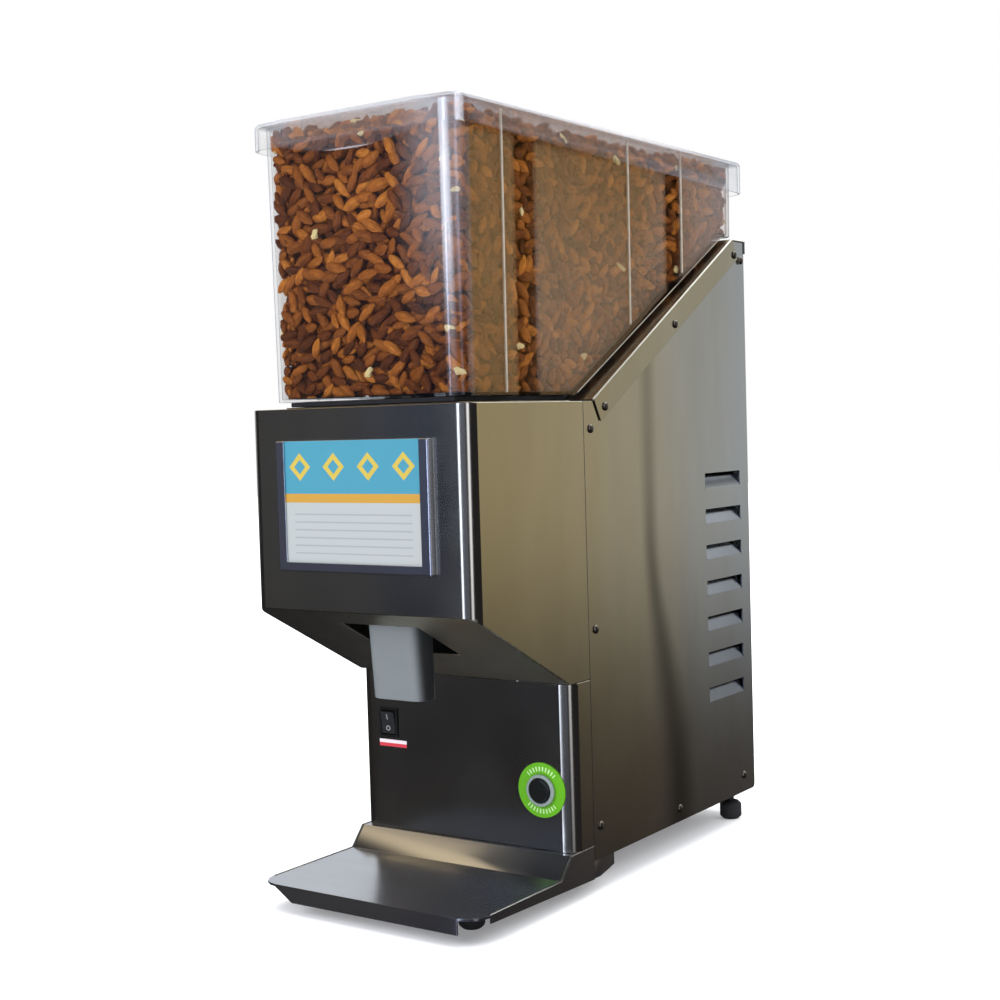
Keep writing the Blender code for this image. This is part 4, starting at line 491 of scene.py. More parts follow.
def cast_metal(name, tint, roughness):
    """Cast or blasted metal with coarse pits."""
    finish = Finish(name, metallic=1.0)
    grit = finish.noise(0.0012, detail=4)
    cloud = finish.noise(0.04)
    shade = 0.8 + 0.25 * cloud + 0.1 * grit
    finish.set("base_color", finish.scale(tint, shade))
    finish.set("roughness", roughness - 0.05 + 0.15 * cloud)
    finish.set("normal", finish.bump(grit, 0.0002, 0.6))
    return finish.material


def galvanised(name, tint):
    """Zinc coated sheet with its crystal patches."""
    finish = Finish(name, metallic=1.0)
    patches = finish.add("ShaderNodeTexVoronoi", {"feature": "F1"}, {"Vector": finish.place, "Scale": 110.0},
                         output=1)
    value = finish.add("ShaderNodeSeparateColor", None, {0: patches})
    shade = 0.75 + 0.4 * value
    finish.set("base_color", finish.scale(tint, shade))
    finish.set("roughness", 0.38 + 0.2 * value)
    return finish.material


def clear_plastic(name, veil, veil_tint):
    """Clear moulded wall that mirrors its surroundings toward its edges, under a veil that functions give."""
    finish = Finish(name, roughness=0.07)
    mirrored = 0.04 + 0.96 * finish.add("ShaderNodeLayerWeight", None, {"Blend": 0.5}, output=1) ** 5
    cloud = finish.noise(0.05, detail=4)
    held = veil(finish, *finish.apart(finish.place)) * (0.75 + 0.5 * cloud)
    finish.set("alpha", held.maths("MINIMUM", mirrored + held, 0.97))
    finish.set("metallic", mirrored / (mirrored + held))
    finish.set("base_color", veil_tint(finish))
    finish.set("normal", finish.bump(finish.noise(0.09, detail=1), 0.0006))
    finish.material.surface_render_method = "BLENDED"
    return finish.material


def nut_skin():
    """Brown papery skin with lengthwise furrows, its tone different from nut to nut."""
    finish = Finish("nut_skin", specular_ior_level=0.12)
    tone = finish.add("ShaderNodeAttribute", {"attribute_name": "tone"}, output=2)
    shape = finish.add("ShaderNodeAttribute", {"attribute_name": "shape"}, output=1)
    furrow = finish.noise(0.0011, (0.12, 1, 1), 3, shape)
    patch = finish.noise(0.006, detail=2, source=shape)
    ramp = finish.add("ShaderNodeValToRGB", {"stops": [
        (0.0, (0.018, 0.005, 0.001)), (0.35, (0.090, 0.023, 0.0030)), (0.7, (0.22, 0.066, 0.007)),
        (1.0, (0.50, 0.19, 0.026))]}, {0: 0.60 * tone + 0.62 * furrow + 0.28 * patch - 0.25})
    finish.set("base_color", ramp)
    finish.set("roughness", 0.42 + 0.25 * furrow)
    finish.set("normal", finish.bump(furrow, 0.0009, 1.0))
    return finish.material


def nut_flesh():
    """Pale inside of a broken nut."""
    finish = Finish("nut_flesh")
    grain = finish.noise(0.002)
    finish.set("base_color", finish.mix(grain, (0.34, 0.25, 0.09), (0.56, 0.47, 0.24)))
    finish.set("roughness", 0.5 + 0.2 * grain)
    finish.set("normal", finish.bump(grain, 0.0004))
    return finish.material


# Meshes


def link_mesh(name, bm, *materials):
    """Makes an object at the origin out of a bmesh."""
    mesh = bpy.data.meshes.new(name)
    bm.to_mesh(mesh)
    bm.free()
    for material in materials:
        mesh.materials.append(material)
    made = bpy.data.objects.new(name, mesh)
    bpy.context.scene.collection.objects.link(made)
    return made


def smooth_under(made, angle):
    """Smooth shading, but sharp at edges that turn by more than an angle in degrees."""
    made.data.shade_smooth()
    made.data.set_sharp_from_angle(angle=math.radians(angle))


def cut(bm, place, way, **more):
    """Cuts every face where a plane crosses it."""
    whole = bm.verts[:] + bm.edges[:] + bm.faces[:]
    bmesh.ops.bisect_plane(bm, geom=whole, plane_co=place, plane_no=way, **more)


def surface(mesh):
    """A mesh's faces, for rays to be sent against."""
    bm = bmesh.new()
    bm.from_mesh(mesh)
    tree = BVHTree.FromBMesh(bm)
    bm.free()
    return tree


def chain(bm, points):
    """Adds a line of edges through points."""
    line = [bm.verts.new(point) for point in points]
    for pair in zip(line, line[1:]):
        bm.edges.new(pair)


def merged(node):
    """The welded form of a CAD node, with its flat faces whole again."""
    bm = bmesh.new()
    bm.from_mesh(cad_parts[node].data)
    bmesh.ops.remove_doubles(bm, verts=bm.verts, dist=MERGE)
    bmesh.ops.dissolve_limit(bm, angle_limit=math.radians(0.5), verts=bm.verts, edges=bm.edges)
    return bm


def rounded_copy(node, material, body, edge=EDGE_ROUND, smooth=35):
    """A smooth shaded copy of a CAD node with softly rounded edges, which stands for the node."""
    made = link_mesh(node + "_surface", merged(node), material)
    smooth_under(made, smooth)
    if edge:
        bevel = made.modifiers.new("edge", "BEVEL")
        bevel.width = edge
        bevel.segments = 2
        bevel.limit_method = "ANGLE"
        bevel.angle_limit = math.radians(smooth + 5)
        bevel.harden_normals = True
    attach(made, body)
    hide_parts(node)
    return made


def dress(material, *nodes):
    """Gives CAD nodes a material as they are."""
    for node in nodes:
        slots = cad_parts[node].material_slots
        for slot in slots:
            slot.material = material
        if not slots:
            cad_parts[node].data.materials.append(material)


def baked(source, name, material):
    """Turns an object with modifiers into a plain mesh object and removes it."""
    bpy.context.view_layer.update()
    mesh = bpy.data.meshes.new_from_object(source.evaluated_get(bpy.context.evaluated_depsgraph_get()))
    mesh.name = name
    made = bpy.data.objects.new(name, mesh)
    bpy.context.scene.collection.objects.link(made)
    if not mesh.materials:
        mesh.materials.append(material)
    bpy.data.objects.remove(source, do_unlink=True)
    return made


def decal(name, bm, node, material, body):
    """Lays a flat drawing in the XZ plane on the front of a CAD node, a hair in front of it."""
    tree = surface(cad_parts[node].data)
    start = CAD_BOX[0][1] - 1
    for vert in bm.verts:
        hit = tree.ray_cast(Vector((vert.co.x, start, vert.co.z)), Vector((0, 1, 0)))[0]
        if hit is None:
            raise RuntimeError(f"{name} reaches past {node}")
        vert.co.y = hit.y - DECAL_PROUD
    made = link_mesh(name, bm, material)
    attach(made, body)
    return made


def grid(bm, low, high, steps=1):
    """Adds a flat upright patch between two (x, z) corners, facing forward."""
    across, up = ([start + (end - start) * step / steps for step in range(steps + 1)]
                  for start, end in zip(low, high))
    corners = [[bm.verts.new((x, 0, z)) for z in up] for x in across]
    for left, right in zip(corners, corners[1:]):
        for step in range(steps):
            bm.faces.new((left[step], right[step], right[step + 1], left[step + 1]))


def ring(bm, centre, outer, inner):
    """Adds a flat upright ring, facing forward."""
    rows = [[], []]
    for row, radius in zip(rows, (outer, inner)):
        for step in range(RING_STEPS):
            turn = math.tau * step / RING_STEPS
            across, up = radius * math.cos(turn), radius * math.sin(turn)
            row.append(bm.verts.new((centre[0] + across, 0, centre[1] + up)))
    for step in range(RING_STEPS):
        after = (step + 1) % RING_STEPS
        bm.faces.new((rows[0][step], rows[0][after], rows[1][after], rows[1][step]))


# Geometry Nodes


def node_group(name, sockets):
    """A Geometry Nodes tree with a mesh in, named sizes in and a mesh out."""
    tree = bpy.data.node_groups.new(name, "GeometryNodeTree")
    tree.interface.new_socket("Geometry", in_out="INPUT", socket_type="NodeSocketGeometry")
    for label, kind in sockets:
        tree.interface.new_socket(label, in_out="INPUT", socket_type="NodeSocket" + kind)
    tree.interface.new_socket("Geometry", in_out="OUTPUT", socket_type="NodeSocketGeometry")
    graph = Graph(tree)
    entry = tree.nodes.new("NodeGroupInput")
    links = {output.name: Link(graph, output) for output in entry.outputs if output.name}
    return graph, links


def close_group(graph, geometry, material):
    """Ends a tree in real geometry with its material."""
    real = graph.add("GeometryNodeRealizeInstances", None, {"Geometry": geometry})
    painted = graph.add("GeometryNodeSetMaterial", None, {"Geometry": real, "Material": material})
    end = graph.tree.nodes.new("NodeGroupOutput")
    graph.feed(end.inputs[0], painted)


def run_group(made, graph, values):
    """Puts a tree on an object and sets its named inputs by their identifiers."""
    modifier = made.modifiers.new(graph.tree.name, "NODES")
    modifier.node_group = graph.tree
    for item in graph.tree.interface.items_tree:
        if item.in_out == "INPUT" and item.name in values:
            modifier[item.identifier] = values[item.name]
    return made


def scatter_group(layers):
    """Nuts in layers behind a wall: spread evenly, laid nearly flat, turned at random, each with its tone."""
    graph, given = node_group("nut_layers", [
        ("Nut", "Object"), ("Spacing", "Float"), ("First Depth", "Float"), ("Layer Pitch", "Float"),
        ("Tilt", "Float"), ("Slant", "Float"), ("Seed", "Int"), ("Material", "Material")])
    shape = graph.add("GeometryNodeObjectInfo", None, {"Object": given["Nut"]}, output=4)
    parts = []
    for layer in range(layers):
        seed = given["Seed"] + 10 * layer
        spread = graph.add("GeometryNodeDistributePointsOnFaces", {"distribute_method": "POISSON"},
                           {"Mesh": given["Geometry"], "Distance Min": given["Spacing"],
                            "Density Max": 30000.0, "Seed": seed})
        outputs = graph.tree.nodes[-1].outputs
        depth = given["First Depth"] + given["Layer Pitch"] * layer
        depth = depth + graph.random(0.0, 0.0022, seed + 1)
        inward = graph.scale(Link(graph, outputs["Normal"]), depth * -1)
        moved = graph.add("GeometryNodeSetPosition", None, {"Geometry": spread, "Offset": inward})
        high = graph.join(given["Tilt"], given["Tilt"], given["Slant"])
        angles = graph.add("FunctionNodeRandomValue", {"data_type": "FLOAT_VECTOR"},
                           {0: graph.scale(high, -1.0), 1: high, "Seed": seed + 2})
        local = graph.add("FunctionNodeEulerToRotation", None, {0: angles})
        turned = graph.add("FunctionNodeRotateRotation", {"rotation_space": "LOCAL"},
                           {0: Link(graph, outputs["Rotation"]), 1: local})
        laid = graph.add("GeometryNodeInstanceOnPoints", None,
                         {"Points": moved, "Instance": shape, "Rotation": turned,
                          "Scale": graph.random(0.84, 1.1, seed + 3)})
        parts.append(graph.add("GeometryNodeStoreNamedAttribute", {"data_type": "FLOAT", "domain": "INSTANCE"},
                               {"Geometry": laid, "Name": "tone", "Value": graph.random(0.0, 1.0, seed + 4)}))
    joined = graph.tree.nodes.new("GeometryNodeJoinGeometry")
    for part in parts:
        graph.tree.links.new(part.socket, joined.inputs[0])
    close_group(graph, Link(graph, joined.outputs[0]), given["Material"])
    return graph


def round_bars(name, lines, radius, material):
    """Turns chains of edges into fine round bars."""
    graph, given = node_group(name + "_bars", [("Radius", "Float"), ("Material", "Material")])
    path = graph.add("GeometryNodeMeshToCurve", None, {"Mesh": given["Geometry"]})
    section = graph.add("GeometryNodeCurvePrimitiveCircle", None, {"Resolution": 8, "Radius": given["Radius"]})
    bars = graph.add("GeometryNodeCurveToMesh", None,
                     {"Curve": path, "Profile Curve": section, "Fill Caps": True})
    close_group(graph, bars, given["Material"])
    source = run_group(link_mesh(name + "_lines", lines), graph, {"Radius": radius, "Material": material})
    made = baked(source, name, material)
    smooth_under(made, 50)
    return made


# Operators


class GRINDER_OT_stage(Operator):
    """Makes the floor, the studio light and the camera"""

    bl_idname = "grinder.stage"
    bl_label = "Stage"

    def execute(self, context):
        settings = context.scene.grinder_stage
        self.floor(settings)
        self.studio(settings)
        self.lamps(settings)
        self.camera(context)
        return {"FINISHED"}

    def floor(self, settings):
        bm = bmesh.new()
        bmesh.ops.create_circle(bm, cap_ends=True, radius=settings.floor_radius, segments=64)
        made = link_mesh("floor", bm)
        finish = Finish("floor_paint", roughness=0.9, specular_ior_level=0.1, emission_strength=1.0)
        finish.set("base_color", settings.floor_colour)
        x, y = finish.apart(finish.place)[:2]
        far = ((x * x + y * y) ** 0.5).over(1.3, 1.0)
        finish.set("emission_color", finish.mix(far, [settings.floor_glow] * 3, (1.0, 1.0, 1.0)))
        made.data.materials.append(finish.material)
        made.visible_glossy = False

    def studio(self, settings):
        """Soft room that steel and clear plastic mirror, white where the camera looks straight at it."""
        world = bpy.data.worlds.new("studio")
        bpy.context.scene.world = world
        world.use_nodes = True
        graph = Graph(world.node_tree)
        world.node_tree.nodes.clear()
        x, y, z = graph.apart(graph.add("ShaderNodeTexCoord", output=0))
        azimuth = x.maths("ARCTAN2", y, x) * math.degrees(1)
        height = z.maths("ARCSINE", z) * math.degrees(1)
        parts = [ROOM]
        for left, right, side_soft, low, high, rise, tint, strength in SOFTBOXES:
            share = azimuth.between(left, right, side_soft) * height.between(low, high, rise) * strength
            parts.append(graph.scale(tint, share))
        parts.append(graph.scale(CEILING[1], height.over(*CEILING[0]) * CEILING[2]))
        seen = graph.add("ShaderNodeLightPath", output=0)
        shown = graph.mix(seen, graph.sum(*parts), (1.0, 1.0, 1.0))
        light = graph.add("ShaderNodeBackground", None, {"Color": shown, "Strength": settings.sky_strength})
        end = world.node_tree.nodes.new("ShaderNodeOutputWorld")
        graph.feed(end.inputs["Surface"], light)
        bpy.context.scene.view_settings.view_transform = "Standard"

    def lamps(self, settings):
        for name, (place, power, side) in LAMPS.items():
            lamp = bpy.data.lights.new(name, "AREA")
            lamp.size = side
            lamp.energy = power * settings.lamp_power
            made = bpy.data.objects.new(name, lamp)
            made.location = place
            made.rotation_euler = (Vector(place) - Vector(LAMP_AIM)).to_track_quat("Z", "Y").to_euler()
            made.visible_camera = False
            made.visible_glossy = False
            bpy.context.scene.collection.objects.link(made)

    def camera(self, context):
        lens = bpy.data.cameras.new("camera")
        lens.lens = CAMERA_LENS
        lens.sensor_width = CAMERA_SENSOR
        made = bpy.data.objects.new("camera", lens)
        made.location = CAMERA_PLACE
        made.rotation_euler = [math.radians(angle) for angle in CAMERA_TURN]
        context.scene.collection.objects.link(made)
        context.scene.camera = made


class GRINDER_OT_case(Operator):
    """Finishes the folded sheets of the case, the tray and the sign holder"""

    bl_idname = "grinder.case"
    bl_label = "Case"

    def execute(self, context):
        settings = context.scene.grinder_steel
        rough = settings.roughness
        case = sheet_steel("case_steel", settings.case_tint, rough, settings.grain,
                           rear_tint=settings.rear_tint)
        # Pale, rougher steel for the saddle's bead: a painted highlight along its edge
        trim = sheet_steel("trim_steel", settings.bead_highlight_tint, rough + 0.20, settings.grain)
        tray = sheet_steel("tray_steel", settings.tray_tint, rough + 0.02, settings.grain, "X", 0.0002)
        edge = sheet_steel("edge_steel", settings.edge_tint, rough + 0.06, settings.grain)
        head = sheet_steel("head_steel", settings.case_tint, rough, settings.grain,
                           rear_tint=settings.rear_tint, matt=CHIN_MATT)
        saddle = sheet_steel("saddle_steel", settings.trim_tint, rough, settings.grain, matt=SADDLE_MATT)
        holder = sheet_steel("holder_steel", settings.holder_tint, rough, settings.grain)
        rounded_copy("head_cover", head, CASE)
        for node in ("column_front", "side_panel_right", "side_panel_left", "rear_panel"):
            rounded_copy(node, case, CASE)
        rounded_copy("saddle", saddle, CASE)
        self.slant_hem(rounded_copy("sign_holder", holder, CASE, edge=0.0006, smooth=8))
        self.taper_lip(rounded_copy("tray", tray, CASE, edge=0.0006))
        self.bead("tray", TRAY_BEAD, edge, "tray_steel", TRAY_EDGE_ABOVE)
        self.bead("saddle", SADDLE_BEAD, trim, "case_steel", SADDLE_EDGE_ABOVE)
        return {"FINISHED"}

    def slant_hem(self, made):
        """Slants the outer margins of the sign holder's front back toward its sides, as folded hems do."""
        low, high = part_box("sign_holder")
        bm = bmesh.new()
        bm.from_mesh(made.data)
        for side in (-1, 1):
            cut(bm, (side * (high.x - HEM_WIDTH), 0, 0), (1, 0, 0))
        for vert in bm.verts:
            if abs(vert.co.x) > high.x - MERGE and vert.co.y < low.y + MERGE:
                vert.co.y += HEM_DROP
        bm.to_mesh(made.data)
        bm.free()
        smooth_under(made, 8)

    def bead(self, node, radius, material, slot, above):
        """Lays a fine round bead along the upper outer edges of a folded sheet, over a height."""
        low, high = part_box(node)
        tops = {}
        source = merged(node)
        for vert in source.verts:
            if vert.co.x > high.x - MERGE:
                run = round(vert.co.y, 4)
                tops[run] = max(tops.get(run, low.z), vert.co.z)
        source.free()
        lines = bmesh.new()
        crest = low.z
        line = []
        for run in sorted(tops):
            if tops[run] > above and tops[run] >= crest - MERGE:
                crest = tops[run]
                line.append((run, crest))
        for side in (-1, 1):
            chain(lines, [(side * (high.x - radius), run, rise - radius * BEAD_SUNK) for run, rise in line])
        made = round_bars(node + "_bead", lines, radius, material)
        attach(made, CASE)

    def taper_lip(self, made):
        """Draws in the lower ends of the tray's front lip, which are cut aslant."""
        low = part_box("tray")[0]
        for vert in made.data.vertices:
            if vert.co.y < low.y + LIP_DEPTH and vert.co.z < low.z + LIP_DEPTH and vert.co.x < 0:
                vert.co.x += LIP_TAPER


class GRINDER_OT_fittings(Operator):
    """Finishes the spout, the switch, the button, the inlet and the feet"""

    bl_idname = "grinder.fittings"
    bl_label = "Fittings"

    def execute(self, context):
        settings = context.scene.grinder_plastic
        black = moulded("black_plastic", (0.006, 0.007, 0.006), 0.34)
        # The spout's side faces get painted shade past this half width
        spout = moulded("spout_plastic", settings.spout_tint, 0.33, 0.0008, painted_shade_beyond=0.0268)
        rocker = moulded("rocker_plastic", (0.02, 0.02, 0.022), 0.25)
        pale = moulded("pale_plastic", (0.24, 0.29, 0.27), 0.3)
        rubber = moulded("rubber", (0.022, 0.022, 0.024), 0.75, 0.0015, 0.0001)
        rounded_copy("spout", spout, CASE)
        rounded_copy("rocker_bezel", black, CASE)
        rounded_copy("rocker", rocker, "rocker")
        rounded_copy("start_button", black, "start_button")
        rounded_copy("button_collar", pale, CASE)
        rounded_copy("button_ring", self.ring_finish(settings), CASE, edge=0.0001)
        rounded_copy("power_inlet", black, CASE)
        for node in ("foot_front_left", "foot_front_right", "foot_rear_left", "foot_rear_right"):
            rounded_copy(node, rubber, CASE)
        rounded_copy("hopper_gasket", rubber, CASE)
        self.marks(settings)
        return {"FINISHED"}

    def ring_finish(self, settings):
        """Green ring with a row of pale ticks along its upper and lower arcs."""
        low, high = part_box("button_ring")
        centre = (low + high) / 2
        finish = Finish("ring_green", specular_ior_level=0.25)
        place = finish.apart(finish.place)
        across = place[0] - centre.x
        up = place[2] - centre.z
        radius = (across * across + up * up) ** 0.5
        turn = up.maths("ARCTAN2", up, across) * math.degrees(1)
        arcs = 1 - abs(abs(turn) - 90).over(TICK_ARC, 1)
        ticks = turn.maths("PINGPONG", turn, 5).over(3.0, 0.5) * radius.between(*TICK_BAND, PRINT_SOFT) * arcs
        finish.set("base_color", finish.mix(ticks * 0.75, settings.ring_tint, (0.62, 0.85, 0.45)))
        finish.set("roughness", 0.42 + 0.1 * finish.noise(0.004))
        finish.set("normal", finish.bump(finish.noise(0.0007), 0.00003))
        return finish.material

    def marks(self, settings):
        """The on and off marks of the rocker, and a two coloured strip under the switch."""
        pale = moulded("mark_paint", (0.30, 0.31, 0.31), 0.5)
        low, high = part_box("rocker")
        middle = (low + high) / 2
        quarter = (high.z - low.z) / 4
        up = middle.z + quarter
        on = bmesh.new()
        grid(on, (middle.x - 0.0005, up - MARK_HALF), (middle.x + 0.0005, up + MARK_HALF), 2)
        decal("rocker_mark_on", on, "rocker", pale, "rocker")
        off = bmesh.new()
        ring(off, (middle.x, middle.z - quarter), MARK_HALF, MARK_INNER)
        decal("rocker_mark_off", off, "rocker", pale, "rocker")
        (left, foot), (right, top) = STRIP
        split = (foot + top) / 2
        for word, colour, tint, bottom, crest in (("upper", "white", (0.75, 0.66, 0.68), split, top),
                                                  ("lower", "red", (0.62, 0.03, 0.05), foot, split)):
            strip = bmesh.new()
            grid(strip, (left, bottom), (right, crest))
            decal(f"strip_{word}", strip, "column_front", moulded(f"strip_{colour}", tint, 0.4), CASE)


class GRINDER_OT_sign(Operator):
    """Prints the sign card with plain shapes"""

    bl_idname = "grinder.sign"
    bl_label = "Sign card"

    def execute(self, context):
        settings = context.scene.grinder_sign
        low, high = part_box("sign_card")
        finish = Finish("card_print")
        place = finish.apart(finish.place)
        across = place[0] - low.x
        up = place[2] - low.z
        wide = high.x - low.x
        band = up.over(STRIPE[1], PRINT_SOFT)
        stripe = up.between(*STRIPE, PRINT_SOFT)
        cell = wide / DIAMONDS
        reach = abs((across / cell).maths("FRACT", across / cell) - 0.5) * cell + abs(up - DIAMOND_MIDDLE)
        diamond = reach.between(*DIAMOND_REACH, PRINT_SOFT)
        rules = up.maths("PINGPONG", up, RULE_PITCH).over(0.8 * RULE_PITCH, PRINT_SOFT)
        rules = rules * across.between(RULE_MARGIN, wide - RULE_MARGIN, 0.0003)
        rules = rules * up.between(*RULED, PRINT_SOFT)
        paint = finish.mix(rules * 0.45, settings.paper, (0.16, 0.19, 0.20))
        paint = finish.mix(stripe, paint, settings.warm)
        paint = finish.mix(band, paint, settings.cool)
        paint = finish.mix(diamond, paint, settings.bright)
        cloud = finish.noise(0.02)
        finish.set("base_color", paint)
        finish.set("roughness", 0.35 + 0.1 * cloud)
        finish.set("normal", finish.bump(finish.noise(0.0005), 0.00002))
        rounded_copy("sign_card", finish.material, "sign_card", edge=0)
        return {"FINISHED"}


class GRINDER_OT_nuts(Operator):
    """Fills the hopper with nuts behind its clear walls"""

    bl_idname = "grinder.nuts"
    bl_label = "Nuts"

    def execute(self, context):
        settings = context.scene.grinder_nuts
        skin = nut_skin()
        flesh = nut_flesh()
        nut = self.nut(settings)
        chip = self.chip(settings)
        graph = scatter_group(settings.layers)
        broken = scatter_group(1)
        self.low, self.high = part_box("nut_fill")
        sides = {"front": (0, -1, 0), "right": (1, 0, 0), "left": (-1, 0, 0), "rear": (0, 1, 0),
                 "top": (0, 0, 1)}
        for index, (word, way) in enumerate(sides.items()):
            wall = self.wall(Vector(way))
            values = {"Nut": nut, "Spacing": settings.spacing, "Layer Pitch": settings.layer_pitch,
                      "First Depth": NUT_TOP_DEPTH if word == "top" else NUT_WALL_DEPTH, "Tilt": settings.tilt,
                      "Slant": settings.slant, "Seed": settings.seed + 100 * index, "Material": skin}
            made = self.heap(f"nuts_{word}", wall.copy(), graph, values)
            if word == "front":
                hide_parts("nut_fill")
            values.update({"Nut": chip, "Spacing": settings.broken, "First Depth": CHIP_DEPTH,
                           "Seed": settings.seed + 7 + 100 * index, "Material": flesh})
            self.heap(f"broken_{word}", wall, broken, values)
        self.core(skin)
        for tool in (nut, chip):
            bpy.data.objects.remove(tool, do_unlink=True)
        return {"FINISHED"}

    def heap(self, name, wall, graph, values):
        """Scatters one side's nuts, presses them inside the hopper and hands them to it."""
        made = baked(run_group(link_mesh("wall", wall), graph, values), name, values["Material"])
        self.settle(made)
        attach(made, HOPPER)
        return made

    def nut(self, settings):
        """One nut, pointed at one end, that keeps its own shape coordinates for its skin."""
        bm = bmesh.new()
        bmesh.ops.create_uvsphere(bm, u_segments=8, v_segments=6, radius=1)
        bmesh.ops.rotate(bm, verts=bm.verts, matrix=Matrix.Rotation(math.radians(90), 3, "Y"))
        for vert in bm.verts:
            run = vert.co.x
            taper = 1 - 0.34 * max(0.0, run) ** 1.5
            vert.co = Vector((run * settings.length / 2, vert.co.y * taper * settings.width / 2,
                              vert.co.z * taper * settings.thickness / 2))
        for face in bm.faces:
            face.smooth = True
        made = link_mesh("nut", bm)
        shape = made.data.attributes.new("shape", "FLOAT_VECTOR", "POINT")
        shape.data.foreach_set("vector", [part for vert in made.data.vertices for part in vert.co])
        return made

    def chip(self, settings):
        """A broken half: a flat, uneven flake."""
        bm = bmesh.new()
        bmesh.ops.create_icosphere(bm, subdivisions=2, radius=1)
        for index, vert in enumerate(bm.verts):
            uneven = 1 + 0.28 * math.sin(7 * index)
            vert.co = Vector((vert.co.x * settings.length * 0.22 * uneven,
                              vert.co.y * settings.width * 0.30 * uneven,
                              vert.co.z * settings.thickness * 0.20))
        return link_mesh("chip", bm)

    def wall(self, way):
        """The hopper's inner faces on one side, up to the top of the heap, or the heap's top itself."""
        source = merged("nut_fill" if way.z else "hopper")
        sense = 1 if way.z else -1
        if not way.z:
            cut(source, (0, 0, self.high.z + HEAP_CROWN - NUT_WALL_DEPTH), (0, 0, 1), clear_outer=True)
        others = []
        for face in source.faces:
            spot = face.calc_center_median()
            if sense * face.normal.dot(way) < 0.7 or spot.dot(way) < 0 or spot.z < self.low.z:
                others.append(face)
        bmesh.ops.delete(source, geom=others, context="FACES")
        if not way.z:
            bmesh.ops.reverse_faces(source, faces=source.faces)
        return source

    def settle(self, made):
        """Presses every point that would stand through the hopper's walls or floor back inside."""
        count = len(made.data.vertices)
        places = np.empty(count * 3)
        made.data.vertices.foreach_get("co", places)
        places = places.reshape(-1, 3)
        floor = np.interp(places[:, 1], FLOOR_RUNS, FLOOR_HEIGHTS)
        places[:, 2] = np.clip(places[:, 2], floor, self.high.z + HEAP_CROWN)
        narrow = HOPPER_DRAFT * (self.high.z - places[:, 2]) / (self.high.z - self.low.z)
        half = np.interp(places[:, 1] - self.low.y, HOPPER_RUNS, HOPPER_HALVES) - narrow
        inset = narrow + HOPPER_CORNER
        middle_y = np.clip(places[:, 1], self.low.y + inset, self.high.y - inset)
        middle_x = np.clip(places[:, 0], HOPPER_CORNER - half, half - HOPPER_CORNER)
        away = np.stack((places[:, 0] - middle_x, places[:, 1] - middle_y), 1)
        length = np.maximum(np.linalg.norm(away, axis=1), 1e-9)
        kept = np.minimum(length, HOPPER_CORNER) / length
        places[:, 0] = middle_x + away[:, 0] * kept
        places[:, 1] = middle_y + away[:, 1] * kept
        made.data.vertices.foreach_set("co", places.reshape(-1))
        made.data.update()

    def core(self, skin):
        """Dark heart of the heap behind the nuts that are modelled one by one."""
        heart = merged("nut_fill")
        for vert in heart.verts:
            vert.co -= vert.normal * NUT_HEART_DEPTH
        made = link_mesh("nut_heart", heart, skin)
        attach(made, HOPPER)


